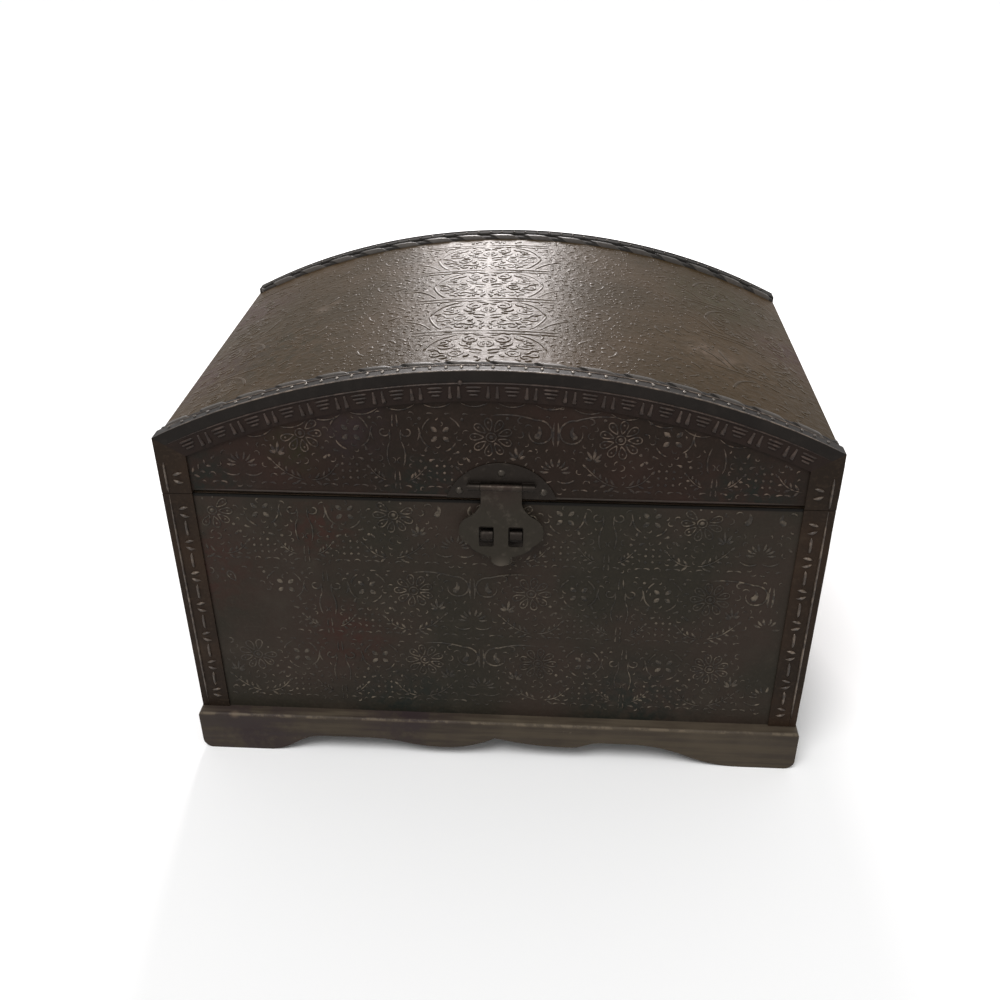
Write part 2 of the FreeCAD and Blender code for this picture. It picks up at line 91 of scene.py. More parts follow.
def arch_of(node):
    """Radius and axis height of the arc along the top of a node."""
    points = np.array([vertex.co for vertex in frame["nodes"][node].data.vertices])
    crown = points[:, 2].max()
    side = points[:, 0].max()
    edge = points[points[:, 0] > side - TINY][:, 2].max()
    rise = crown - edge
    radius = (side ** 2 + rise ** 2) / (2 * rise)
    return radius, crown - radius


RIM_RADIUS, ARCH_AXIS = arch_of("rim_edging_front")
BARREL_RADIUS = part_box("lid_top_cover")[1].z - ARCH_AXIS
LID_CORNER_Z = ARCH_AXIS + math.sqrt(RIM_RADIUS ** 2 - EDGE_X ** 2)
ARC_REACH = RIM_RADIUS * math.asin(EDGE_X / RIM_RADIUS)

# Embossing: one repeat is two mirrored halves of TILE by ROW, stamped in rows that don't quite line up
TILE = 93 * MM
ROW = 55.9 * MM
LINE = 1.05 * MM
BARREL_LINE = 2.2 * MM
RELIEF = 0.6 * MM
HIGH_RELIEF = 1.2 * RELIEF
LOW_RELIEF = 0.8 * RELIEF
SINK = 0.12 * MM
SECTION_SHARES = np.array((-1.0, -0.62, 0.0, 0.62, 1.0))
SECTION_RISES = np.sqrt(1 - SECTION_SHARES ** 2)
DOME_SIDES = 10
DOME_SHARES = ((1.0, 0.0), (0.78, 0.62), (0.36, 0.94))
ROUND_END_SHARE = 0.14
ROUND_LEAST_SHARE = 0.2
LEAF_POWER = 0.8
LEAF_LEAST_SHARE = 0.1
COMMA_HEAD_SHARE = 0.15
COMMA_POWER = 0.7
COMMA_TAIL_SHARE = 0.1
COMMA_LEAST_SHARE = 0.12


# Raised forms, each a closed solid in (u, v, h)

def rounded_ends(share):
    """Even stroke with short rounded ends."""
    return np.clip(np.sqrt(np.minimum(share, 1 - share) / ROUND_END_SHARE), ROUND_LEAST_SHARE, 1)


def leaf_shape(share):
    return np.clip(np.sin(math.pi * share) ** LEAF_POWER, LEAF_LEAST_SHARE, 1)


def comma_shape(share):
    """Full round head that thins to a tail."""
    tail = (1 - share) ** COMMA_POWER + COMMA_TAIL_SHARE
    return np.clip(np.minimum(np.sqrt(share / COMMA_HEAD_SHARE), tail), COMMA_LEAST_SHARE, 1)


def ring_quads(rings, sides, closed=False):
    """Faces between each ring of points and the next."""
    quads = []
    for ring in range(rings if closed else rings - 1):
        here = ring * sides
        ahead = (ring + 1) % rings * sides
        for i in range(sides):
            beside = (i + 1) % sides
            quads.append((here + i, here + beside, ahead + beside, ahead + i))
    return quads


def stroke(path, width=LINE, height=RELIEF, shape=rounded_ends, closed=False):
    """Rounded ridge along a path of (u, v) points."""
    path = np.asarray(path, float)
    count = len(path)
    if closed:
        tangent = np.roll(path, -1, 0) - np.roll(path, 1, 0)
        share = np.ones(count)
    else:
        tangent = np.gradient(path, axis=0)
        share = shape(np.linspace(0, 1, count))
    tangent /= np.linalg.norm(tangent, axis=1)[:, None]
    across = np.stack((tangent[:, 1], -tangent[:, 0]), 1)
    steps = len(SECTION_SHARES)
    points = np.empty((count, steps, 3))
    reach = share[:, None] * SECTION_SHARES * width / 2
    points[:, :, :2] = path[:, None, :] + across[:, None, :] * reach[:, :, None]
    points[:, :, 2] = share[:, None] * SECTION_RISES * (height + SINK) - SINK
    faces = ring_quads(count, steps, closed)
    if not closed:
        last = (count - 1) * steps
        faces += [tuple(reversed(range(steps))), tuple(range(last, last + steps))]
    return points.reshape(-1, 3), faces


def dome(centre, radius, height=RELIEF):
    """Round boss."""
    turns = 2 * math.pi * np.arange(DOME_SIDES) / DOME_SIDES
    ring = np.stack((np.cos(turns), np.sin(turns)), 1)
    points = []
    for radius_share, height_share in DOME_SHARES:
        rise = np.full((DOME_SIDES, 1), height_share * (height + SINK) - SINK)
        points.append(np.hstack((np.asarray(centre) + ring * radius * radius_share, rise)))
    foot = tuple(reversed(range(DOME_SIDES)))
    top = tuple(range(2 * DOME_SIDES, 3 * DOME_SIDES))
    return np.vstack(points), [foot, *ring_quads(len(DOME_SHARES), DOME_SIDES), top]


# Paths of (u, v) points

def turned(centre, radius, angle):
    return np.asarray(centre) + radius * np.array((math.cos(angle), math.sin(angle)))


def spiral(centre, radius_from, radius_to, degrees_from, degrees_to, count):
    points = []
    for share in np.linspace(0, 1, count):
        angle = math.radians(degrees_from + share * (degrees_to - degrees_from))
        points.append(turned(centre, radius_from + share * (radius_to - radius_from), angle))
    return np.array(points)


def bend(start, pull, end, count=9):
    """Curve from start to end that leans towards pull."""
    share = np.linspace(0, 1, count)[:, None]
    start, pull, end = (np.asarray(place) for place in (start, pull, end))
    return (1 - share) ** 2 * start + 2 * share * (1 - share) * pull + share ** 2 * end


def ray(centre, radius_from, radius_to, degrees, lean=0, count=7):
    """Radial path that may lean to one side."""
    angle = math.radians(degrees)
    middle = turned(centre, (radius_from + radius_to) / 2, angle + lean)
    return bend(turned(centre, radius_from, angle), middle, turned(centre, radius_to, angle), count)


def loop(centre, radius_from, radius_to, degrees, width, count=14):
    """Closed teardrop outline that points at the centre."""
    angle = math.radians(degrees)
    along = np.array((math.cos(angle), math.sin(angle)))
    across = np.array((-along[1], along[0]))
    points = []
    for turn in 2 * math.pi * np.arange(count) / count:
        reach = radius_from + (radius_to - radius_from) * (1 - math.cos(turn)) / 2
        spread = width / 2 * math.sin(turn) * math.sin(turn / 2)
        points.append(np.asarray(centre) + along * reach + across * spread)
    return np.array(points)


# Motifs of the half repeat: turns are in degrees, and a spiral is two radii, two turns and its points

def on_tile(*shares):
    """One place or several, from shares of the half repeat's width and height."""
    return np.array(shares) * (TILE, ROW)


def grid_on_tile(u_shares, v_shares):
    return [on_tile(u_share, v_share) for u_share in u_shares for v_share in v_shares]


def sprig(root, reach, turn, lean=0, width=LINE, height=RELIEF, shape=leaf_shape):
    """Leaf or drop between the start and the tip of its reach from a root."""
    return stroke(ray(root, *reach, turn, lean), width, height, shape)


STEM_PEN_SHARE = 0.9
RING_PEN_SHARE = 0.8
LYRE_EYE = on_tile(0.072, 0.74)
LYRE_CURL = (1.4 * MM, 3.6 * MM, 120, -200, 16)
LYRE_NECK = on_tile((0.03, 0.70), (0.035, 0.63))
LYRE_STEM = on_tile((0.035, 0.63), (0.075, 0.48), (0.042, 0.33))
LYRE_LEAF = on_tile((0.145, 0.80), (0.165, 0.72), (0.135, 0.64))
LYRE_DASHES = (
    on_tile((0.012, 0.06), (0.020, 0.06), (0.012, 0.13)),
    on_tile((0.012, 0.16), (0.020, 0.16), (0.012, 0.27)),
    on_tile((0.012, 0.80), (0.020, 0.80), (0.012, 0.94)),
)


def lyre(pen):
    """Curl on a wavy stem beside the first axis, with a broken line along the axis."""
    curl = spiral(LYRE_EYE, *LYRE_CURL)
    paths = [curl, bend(*LYRE_STEM), bend(curl[-1], *LYRE_NECK, count=5)]
    paths += [bend(*dash, count=6) for dash in LYRE_DASHES]
    paths.append(bend(*LYRE_LEAF))
    return [stroke(path, pen) for path in paths]


CLOVER = on_tile(0.28, 0.72)
CLOVER_TURNS = (42, 138, 222, 318)
CLOVER_LEAF = dict(reach=(2.2 * MM, 7.2 * MM), width=3.4 * MM, height=HIGH_RELIEF)
CLOVER_RINGS = (
    (11.5 * MM, 10.5 * MM, 118, 165, 9), (11.5 * MM, 10.5 * MM, 172, 238, 9),
    (11.5 * MM, 10.5 * MM, 282, 330, 9), (12.5 * MM, 12.5 * MM, 20, 62, 8),
)


def clover(pen):
    """Four drops in a broken ring."""
    drops = [sprig(CLOVER, turn=turn, **CLOVER_LEAF) for turn in CLOVER_TURNS]
    return drops + [stroke(spiral(CLOVER, *ring), pen) for ring in CLOVER_RINGS]


FLOWER = on_tile(0.60, 0.70)
FLOWER_EYE = 1.5 * MM
FLOWER_RING = (2.9 * MM, 2.9 * MM, 0, 330, 12)
PETAL_TURNS = range(20, 380, 40)
PETAL_REACH = (4.2 * MM, 12.4 * MM)
PETAL_WIDTH = 5.6 * MM
PETAL_PEN_SHARE = 0.85
PETAL_DOT = 0.75 * MM
PETAL_DOT_REACH = 9.6 * MM


def loop_flower(pen):
    """Looped petals with a dot in each, round a ringed eye."""
    ring = stroke(spiral(FLOWER, *FLOWER_RING), pen * RING_PEN_SHARE, closed=True)
    shapes = [dome(FLOWER, FLOWER_EYE), ring]
    for turn in PETAL_TURNS:
        petal = loop(FLOWER, *PETAL_REACH, turn, PETAL_WIDTH)
        shapes.append(stroke(petal, pen * PETAL_PEN_SHARE, closed=True))
        shapes.append(dome(turned(FLOWER, PETAL_DOT_REACH, math.radians(turn)), PETAL_DOT, LOW_RELIEF))
    return shapes


SCROLL = on_tile(0.895, 0.76)
SCROLL_HOOK = (8.4 * MM, 5.6 * MM, 92, -190, 18)
SCROLL_TAIL = on_tile((0.60, 0.95), (0.74, 0.99))
SCROLL_TAIL_TURN = 100
SCROLL_PEN_SHARE = 1.1
BULB = ((-2.6 * MM, -3.4 * MM), (2.4 * MM, -0.6 * MM), (-0.2 * MM, 4.4 * MM))
BULB_WIDTH = 4.6 * MM
BULB_RELIEF = 1.3 * RELIEF
RINGLET_EYE = on_tile(0.785, 0.90)
RINGLET = (1.9 * MM, 1.9 * MM, 60, 290, 9)


def c_scroll(pen):
    """Scroll that comes along the top of the row and turns round a bulb beside the second axis."""
    meeting = turned(SCROLL, SCROLL_HOOK[0], math.radians(SCROLL_TAIL_TURN))
    path = np.vstack((bend(*SCROLL_TAIL, meeting, count=10), spiral(SCROLL, *SCROLL_HOOK)))
    shapes = [stroke(path, pen * SCROLL_PEN_SHARE)]
    shapes.append(stroke(bend(*(SCROLL + BULB)), BULB_WIDTH, BULB_RELIEF, comma_shape))
    return shapes + [stroke(spiral(RINGLET_EYE, *RINGLET), pen)]


FINIAL = on_tile((0.99, 0.60), (0.975, 0.72), (0.99, 0.90))
FINIAL_WIDTH = 1.8 * MM
FAN = on_tile(1.0, 0.30)
FAN_TURNS = (104, 128, 152, 176)
FAN_LEAF = dict(reach=(3.6 * MM, 9.4 * MM), lean=0.16, width=1.9 * MM)
FAN_FOOT = on_tile((0.87, 0.22), (0.93, 0.14), (0.985, 0.20))


def finial(pen):
    """Upright leaf on the second axis with strokes fanned below it."""
    shapes = [stroke(bend(*FINIAL), FINIAL_WIDTH, shape=leaf_shape)]
    shapes += [sprig(FAN, turn=turn, **FAN_LEAF) for turn in FAN_TURNS]
    return shapes + [stroke(bend(*FAN_FOOT), pen)]


OAK = on_tile(0.765, 0.44)
OAK_START = 0.8 * MM
OAK_LOBES = ((62, 7.6 * MM), (98, 9.0 * MM), (134, 7.2 * MM), (28, 5.2 * MM), (168, 5.0 * MM))
OAK_LEAF = dict(lean=0.12, width=2.3 * MM)


def oak_leaf():
    return [sprig(OAK, (OAK_START, tip), turn, **OAK_LEAF) for turn, tip in OAK_LOBES]


SPRAYS = (
    (on_tile((0.60, 0.14), (0.70, 0.16), (0.80, 0.36)), 4, 6.2 * MM),
    (on_tile((0.56, 0.14), (0.46, 0.14), (0.40, 0.30)), 3, 6.0 * MM),
    (on_tile((0.07, 0.16), (0.12, 0.18), (0.17, 0.30)), 3, 5.0 * MM),
)
LEAFLET_START = 1.0 * MM
LEAFLET_WIDTH = 1.7 * MM
LEAFLET_TURN = 48
LEAFLET_LEAN = 0.18
LEAFLET_LOSS_SHARE = 0.45
LEAFLET_TIP_SHARE = 0.6


def leaf_spray(pen, places, pairs, length):
    """Stem with leaflets on both sides."""
    stem = bend(*places, count=3 * pairs + 2)
    shapes = [stroke(stem, pen * STEM_PEN_SHARE)]
    for pair in range(pairs):
        i = 3 * pair + 1
        direction = stem[i + 1] - stem[i - 1]
        heading = math.degrees(math.atan2(direction[1], direction[0]))
        reach = (LEAFLET_START, length * (1 - LEAFLET_LOSS_SHARE * pair / pairs))
        for side in (-1, 1):
            turn = heading + side * LEAFLET_TURN
            shapes.append(sprig(stem[i], reach, turn, -side * LEAFLET_LEAN, LEAFLET_WIDTH))
    return shapes + [sprig(stem[-1], (0, length * LEAFLET_TIP_SHARE), heading, width=LEAFLET_WIDTH)]


DOTS = grid_on_tile((0.255, 0.302, 0.349), (0.18, 0.262, 0.344))
DOT_RADIUS = 0.95 * MM
STREWN = on_tile((0.155, 0.40), (0.43, 0.44), (0.42, 0.90), (0.47, 0.53), (0.70, 0.92), (0.155, 0.90))
STREWN_RADIUS = 1.1 * MM
DROPS = on_tile((0.185, 0.51), (0.205, 0.40), (0.47, 0.40), (0.40, 0.52))
DROP_TURNS = (70, 20, 130, 200)
DROP = dict(reach=(0, 4.2 * MM), lean=0.2, width=2.0 * MM, shape=comma_shape)


def dot_field():
    """Three by three dots, and strewn single dots and drops."""
    shapes = [dome(place, DOT_RADIUS) for place in DOTS]
    shapes += [dome(place, STREWN_RADIUS) for place in STREWN]
    return shapes + [sprig(place, turn=turn, **DROP) for place, turn in zip(DROPS, DROP_TURNS)]


FEET = [on_tile(0.09 + 0.1 * i, 0.075) for i in range(9)]
FOOT_TURNS = (168, 12)
FOOT_LEANS = (-0.5, 0.5)
FOOT_COMMA = dict(reach=(0, 4.6 * MM), width=1.5 * MM, shape=comma_shape)
HEADS = grid_on_tile((0.20, 0.31, 0.42, 0.53), (0.955,))
HEAD_COMMA = dict(reach=(0, 4.0 * MM), turn=0, lean=0.4, width=1.4 * MM, shape=comma_shape)


def row_border():
    """Commas along the foot and head of the row."""
    shapes = []
    for i, place in enumerate(FEET):
        shapes.append(sprig(place, turn=FOOT_TURNS[i % 2], lean=FOOT_LEANS[i % 2], **FOOT_COMMA))
    return shapes + [sprig(place, **HEAD_COMMA) for place in HEADS]


BAR_ENDS = on_tile((0.50, 0), (0.99, 0))
BAR_GAP = 4.4 * MM
BAR_RELIEF = 0.9 * RELIEF
BAR_EYE = on_tile((0.73, 0), (0.76, 0), (0.79, 0))
BAR_EYE_WIDTH = 2.2 * MM


def row_bar(pen):
    """Two lines along the joint of two rows, with an eye between them."""
    shapes = []
    for v in (-BAR_GAP / 2, BAR_GAP / 2):
        start, end = BAR_ENDS + (0, v)
        path = bend(start, (start + end) / 2, end, count=14)
        shapes.append(stroke(path, pen * STEM_PEN_SHARE, BAR_RELIEF))
    return shapes + [stroke(bend(*BAR_EYE, count=7), BAR_EYE_WIDTH, shape=leaf_shape)]


BRACKETS = (
    on_tile((0.81, 0.92), (0.645, 0.84), (0.605, 0.51)),
    on_tile((0.60, 0.54), (0.625, 0.28), (0.71, 0.09)),
)
BRACKET_FOOT = on_tile((0.64, 0.09), (0.57, 0.34), (0.44, 0.42))
BRACKET_DOTS = grid_on_tile((0.46, 0.51), (0.12, 0.20, 0.28))
BRACKET_DOT_SHARE = 0.6


def bracket(pen):
    """Waisted line that closes the row at its side, with a second line crossing its foot."""
    shapes = [stroke(bend(*places, count=10), pen) for places in BRACKETS]
    shapes.append(stroke(bend(*BRACKET_FOOT, count=10), pen * RING_PEN_SHARE))
    return shapes + [dome(place, pen * BRACKET_DOT_SHARE) for place in BRACKET_DOTS]


BUD = on_tile(1.0, 0.66)
BUD_RADIUS = 4.2 * MM
BUD_RING = (BUD_RADIUS, BUD_RADIUS, 96, 264, 12)
BUD_LEAF = on_tile((0.992, 0.62), (0.98, 0.66), (0.992, 0.71))
WINGS = on_tile((0.985, 0.90), (0.985, 0.42))
WING = dict(reach=(0, 2 * BUD_RADIUS), turn=160, lean=0.3)
WING_PEN_SHARE = 1.3


def bud(pen):
    """Half of a ringed bud on the second axis."""
    shapes = [stroke(spiral(BUD, *BUD_RING), pen), stroke(bend(*BUD_LEAF), pen, shape=leaf_shape)]
    return shapes + [sprig(place, width=pen * WING_PEN_SHARE, **WING) for place in WINGS]


CELL = 0.3 * MM
GRID_LAST = (int(TILE / CELL), int(ROW / CELL))


class Room:
    """Grid over the half repeat that knows which places have been taken."""

    def __init__(self, gap, shapes):
        steps = np.arange(-int(gap / CELL), int(gap / CELL) + 1)
        disc = np.array([(i, j) for i in steps for j in steps])
        self.disc = disc[np.hypot(disc[:, 0], disc[:, 1]) * CELL <= gap]
        self.taken = np.zeros((GRID_LAST[0] + 1, GRID_LAST[1] + 1), bool)
        for points, faces in shapes:
            self.take(points)

    def cells(self, points):
        return np.round(np.asarray(points)[:, :2] / CELL).astype(int)

    def take(self, points):
        """Keep later forms a gap away from these points."""
        places = (self.cells(points)[:, None] + self.disc).reshape(-1, 2)
        places = np.clip(places, 0, GRID_LAST)
        self.taken[places[:, 0], places[:, 1]] = True

    def has(self, points):
        """Whether all these points are on the half repeat and free."""
        places = self.cells(points)
        if (places < 0).any() or (places > GRID_LAST).any():
            return False
        return not self.taken[places[:, 0], places[:, 1]].any()


CURL_TRIES = 2600
CURL_U_SHARES = (0.02, 0.98)
CURL_V_SHARES = (0.05, 0.95)
CURL_GAP = 1.9 * MM
CURL_RADII = (1.2 * MM, 3.0 * MM)
CURL_TURNS = (110, 250)
CURL_END_SHARE = 0.6


def small_curls(pen, motifs):
    """Curls strewn in the gaps that the motifs leave."""
    room = Room(CURL_GAP, motifs)
    shapes = []
    for attempt in range(CURL_TRIES):
        place = on_tile(chance.uniform(*CURL_U_SHARES), chance.uniform(*CURL_V_SHARES))
        heading = chance.uniform(0, 360)
        turn = chance.choice((-1, 1)) * chance.uniform(*CURL_TURNS)
        radius = chance.uniform(*CURL_RADII)
        path = spiral(place, radius, radius * CURL_END_SHARE, heading, heading + turn, count=7)
        if room.has(path):
            shapes.append(stroke(path, pen, shape=comma_shape))
            room.take(path)
    return shapes


VINE_TRIES = 2500
VINE_U_SHARES = (0.63, 0.99)
VINE_V_SHARES = (0.06, 0.94)
VINE_GAP = 2.25 * MM
VINE_STEP = 1.0 * MM
VINE_STEPS = 20
VINE_LEAST = 5
VINE_LAG = 4
VINE_RADII = (2.2 * MM, 7.0 * MM)
VINE_TIGHTER = 1.07


def half_vine(room, start, heading):
    """Line that curls tighter from a place until it meets a form or itself."""
    curl = chance.choice((-1, 1)) / chance.uniform(*VINE_RADII)
    points = [start]
    for step in range(VINE_STEPS):
        heading += curl * VINE_STEP
        curl *= VINE_TIGHTER
        point = turned(points[-1], VINE_STEP, heading)
        own = np.array(points[:-VINE_LAG] or [point + VINE_GAP])
        if not room.has([point]) or np.linalg.norm(own - point, axis=1).min() < VINE_GAP:
            break
        points.append(point)
    return points


def vines(pen, motifs):
    """Winding scrolls that fill the middle of the barrel's row."""
    room = Room(VINE_GAP, motifs)
    shapes = []
    for attempt in range(VINE_TRIES):
        start = on_tile(chance.uniform(*VINE_U_SHARES), chance.uniform(*VINE_V_SHARES))
        heading = chance.uniform(0, 2 * math.pi)
        if not room.has([start]):
            continue
        path = half_vine(room, start, heading + math.pi)[:0:-1] + half_vine(room, start, heading)
        if len(path) >= VINE_LEAST:
            shapes.append(stroke(path, pen))
            room.take(path)
    return shapes


def half_tile(pen):
    shapes = lyre(pen) + clover(pen) + loop_flower(pen) + c_scroll(pen) + finial(pen)
    shapes += oak_leaf() + dot_field() + row_border()
    for spray in SPRAYS:
        shapes += leaf_spray(pen, *spray)
    return shapes + small_curls(pen, shapes)


def barrel_half_tile(pen):
    shapes = clover(pen) + bracket(pen) + bud(pen) + row_bar(pen)
    shapes += vines(pen, shapes)
    return shapes + small_curls(pen, shapes)


# Surfaces: each turns rows of (u, v, h) into places in the frame

def front_at(depth):
    return lambda p: np.stack((p[:, 0], -depth - p[:, 2], p[:, 1]), 1)


def right_at(reach):
    return lambda p: np.stack((reach + p[:, 2], p[:, 0], p[:, 1]), 1)


def arch_top(radius):
    """v runs along Y on a surface of this radius."""
    def surface(p):
        angle = p[:, 0] / radius
        out = radius + p[:, 2]
        return np.stack((out * np.sin(angle), p[:, 1], ARCH_AXIS + out * np.cos(angle)), 1)
    return surface


def arch_front(depth):
    """v runs outwards from the rim, so it is negative below it."""
    def surface(p):
        angle = p[:, 0] / RIM_RADIUS
        out = RIM_RADIUS + p[:, 1]
        return np.stack((out * np.sin(angle), -depth - p[:, 2], ARCH_AXIS + out * np.cos(angle)), 1)
    return surface


def half_turned(surface):
    """The same surface on the opposite side of the trunk."""
    return lambda p: surface(p) * (-1, -1, 1)


def mirrored(shapes):
    """The same forms with left and right changed over."""
    return [(points * (-1, 1, 1), [tuple(reversed(face)) for face in faces]) for points, faces in shapes]


finishes = {}


def piece_of(name, shapes, surface, body, finish):
    """One smooth mesh from many raised forms."""
    points = []
    faces = []
    count = 0
    for shape_points, shape_faces in shapes:
        points.append(shape_points)
        faces.extend(tuple(i + count for i in face) for face in shape_faces)
        count += len(shape_points)
    mesh = bpy.data.meshes.new(name)
    mesh.from_pydata(surface(np.vstack(points)), [], faces)
    mesh.polygons.foreach_set("use_smooth", np.ones(len(faces), bool))
    mesh.materials.append(finishes[finish])
    piece = bpy.data.objects.new(name, mesh)
    bpy.context.scene.collection.objects.link(piece)
    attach(piece, body)
    return piece


def pair_of(names, shapes, surface, body, finish):
    """The same forms on a face of the trunk and on the opposite face."""
    for name, face in zip(names, (surface, half_turned(surface))):
        piece_of(name, shapes, face, body, finish)


# Node materials

def plug(tree, socket, value):
    """Link an input to another node's output, or set it to a value."""
    if isinstance(value, bpy.types.NodeSocket):
        tree.links.new(value, socket)
    else:
        socket.default_value = value


def add_node(tree, kind, inputs, **settings):
    """New node with its settings, and with its inputs by name or number."""
    node = tree.nodes.new(kind)
    for setting, value in settings.items():
        setattr(node, setting, value)
    for key, value in inputs.items():
        plug(tree, node.inputs[key], value)
    return node


def tinted(colour, share):
    return tuple(share * value for value in colour)


class Finish:
    """A procedural material under construction."""

    def __init__(self, name, **values):
        finishes[name] = bpy.data.materials.new(name)
        finishes[name].use_nodes = True
        self.tree = finishes[name].node_tree
        self.place = self.tree.nodes.new("ShaderNodeTexCoord").outputs["Object"]
        self.set(**values)

    def set(self, **values):
        """Values or patterns of the shader, by the names of its inputs."""
        for name, value in values.items():
            plug(self.tree, self.tree.nodes["Principled BSDF"].inputs[name.replace("_", " ")], value)

    def noise(self, scale, detail, stretch=(1, 1, 1), rough=0.55):
        mapping = add_node(self.tree, "ShaderNodeMapping", {"Vector": self.place, "Scale": stretch})
        inputs = {"Vector": mapping.outputs["Vector"], "Scale": scale, "Detail": detail, "Roughness": rough}
        return add_node(self.tree, "ShaderNodeTexNoise", inputs).outputs["Fac"]

    def spread(self, value, low, high, to_low=0.0, to_high=1.0):
        """Value between low and high, drawn out from to_low to to_high."""
        inputs = {"Value": value, "From Min": low, "From Max": high, "To Min": to_low, "To Max": to_high}
        node = add_node(self.tree, "ShaderNodeMapRange", inputs, interpolation_type="SMOOTHSTEP")
        return node.outputs["Result"]

    def pattern(self, limits, levels=(0.0, 1.0), **sizes):
        """Noise drawn out between two limits."""
        return self.spread(self.noise(**sizes), *limits, *levels)

    def vector(self, operation, place, value=(0, 0, 0)):
        inputs = {0: place, 1: value}
        return add_node(self.tree, "ShaderNodeVectorMath", inputs, operation=operation).outputs

    def near(self, centre, radius):
        """1 at a place, falling to 0 at a distance."""
        return self.spread(self.vector("DISTANCE", self.place, centre)["Value"], 0, radius, 1, 0)

    def from_line(self, mask, centre):
        """Distance from a line along the axis that the mask leaves out, alike on both sides."""
        place = self.vector("ABSOLUTE", self.place)["Vector"]
        for operation, value in (("SUBTRACT", centre), ("MULTIPLY", mask)):
            place = self.vector(operation, place, value)["Vector"]
        return self.vector("LENGTH", place)["Value"]

    def sum(self, operation, first, second):
        node = add_node(self.tree, "ShaderNodeMath", {0: first, 1: second}, operation=operation)
        return node.outputs["Value"]

    def mix(self, factor, *colours):
        first, second = ((*colour, 1) if isinstance(colour, tuple) else colour for colour in colours)
        inputs = {0: factor, 6: first, 7: second}
        return add_node(self.tree, "ShaderNodeMix", inputs, data_type="RGBA").outputs[2]

    def laid(self, ground, where, share, colour):
        """Ground with a colour laid over it in part, by a share or by a second pattern."""
        return self.mix(self.sum("MULTIPLY", where, share), ground, colour)

    def stained(self, ground, stains, mottle):
        """Ground with mottled stains, each a place, its reach and its colour."""
        for centre, radius, colour in stains:
            ground = self.laid(ground, self.near(centre, radius), mottle, colour)
        return ground

    def bump(self, height, distance):
        node = add_node(self.tree, "ShaderNodeBump", {"Height": height, "Distance": distance})
        self.set(Normal=node.outputs["Normal"])


# Stains: place, reach and colour of each
RED_STAIN = (0.042, 0.019, 0.014)
GREEN_STAIN = (0.014, 0.0165, 0.0135)
VIOLET_STAIN = (0.030, 0.020, 0.021)
MOSS_STAIN = (0.024, 0.0200, 0.0105)
TAN_STAIN = (0.066, 0.0415, 0.0205)
OLIVE_STAIN = (0.040, 0.031, 0.012)
DEEP_OLIVE = (0.024, 0.0165, 0.0055)
SCUFF = (0.120, 0.086, 0.062)
NAIL_SIDE_SHADE = (0.046, 0.040, 0.035)
RUST = (0.031, 0.020, 0.016)
CHEST_STAINS = (
    ((-107 * MM, -COVER_Y, 177 * MM), 34 * MM, RED_STAIN),
    ((-95 * MM, -COVER_Y, 96 * MM), 42 * MM, RED_STAIN),
    ((-190 * MM, -COVER_Y, 150 * MM), 60 * MM, RED_STAIN),
    ((-60 * MM, -COVER_Y, 34 * MM), 60 * MM, GREEN_STAIN),
    ((90 * MM, -COVER_Y, 36 * MM), 70 * MM, GREEN_STAIN),
)
LID_STAINS = (
    ((-118 * MM, -COVER_Y, 232 * MM), 26 * MM, MOSS_STAIN),
    ((-172 * MM, -COVER_Y, 207 * MM), 40 * MM, GREEN_STAIN),
    ((-40 * MM, -COVER_Y, 205 * MM), 42 * MM, GREEN_STAIN),
    ((-84 * MM, -COVER_Y, 248 * MM), 34 * MM, VIOLET_STAIN),
    ((150 * MM, -COVER_Y, 207 * MM), 46 * MM, GREEN_STAIN),
)
BARREL_STAINS = (
    ((140 * MM, -50 * MM, 260 * MM), 90 * MM, TAN_STAIN),
    ((-126 * MM, 9 * MM, 266 * MM), 13 * MM, SCUFF),
    ((-118 * MM, 18 * MM, 268 * MM), 7 * MM, SCUFF),
    ((127 * MM, -46 * MM, 265 * MM), 18 * MM, SCUFF),
    ((139 * MM, -53 * MM, 262 * MM), 15 * MM, SCUFF),
    ((-150 * MM, -50 * MM, 258 * MM), 110 * MM, DEEP_OLIVE),
    ((150 * MM, 60 * MM, 258 * MM), 60 * MM, OLIVE_STAIN),
    # The last three redden the covering and darken it a little towards both ends of the barrel
    ((-196 * MM, 60 * MM, 242 * MM), 60 * MM, RED_STAIN),
    ((-196 * MM, -50 * MM, 242 * MM), 60 * MM, RED_STAIN),
    ((196 * MM, 0, 242 * MM), 50 * MM, RED_STAIN),
)
PLINTH_STAINS = (
    ((-165 * MM, -COVER_Y, 10 * MM), 60 * MM, VIOLET_STAIN),
    ((-60 * MM, -COVER_Y, 30 * MM), 50 * MM, VIOLET_STAIN),
    ((-178 * MM, -PLINTH_EDGE[1], PLINTH_EDGE[2]), 5 * MM, SCUFF),
)
# Painted shade: nail heads darker towards both sides of the trunk, away from the window's highlight
NAIL_SIDE_SHADES = tuple(((side * 165 * MM, -COVER_Y, 240 * MM), 120 * MM, NAIL_SIDE_SHADE) for side in (-1, 1))
STRAP_STAINS = (((STRAP_MIDDLE, strap_low.y, strap_high.z), 26 * MM, RUST),)

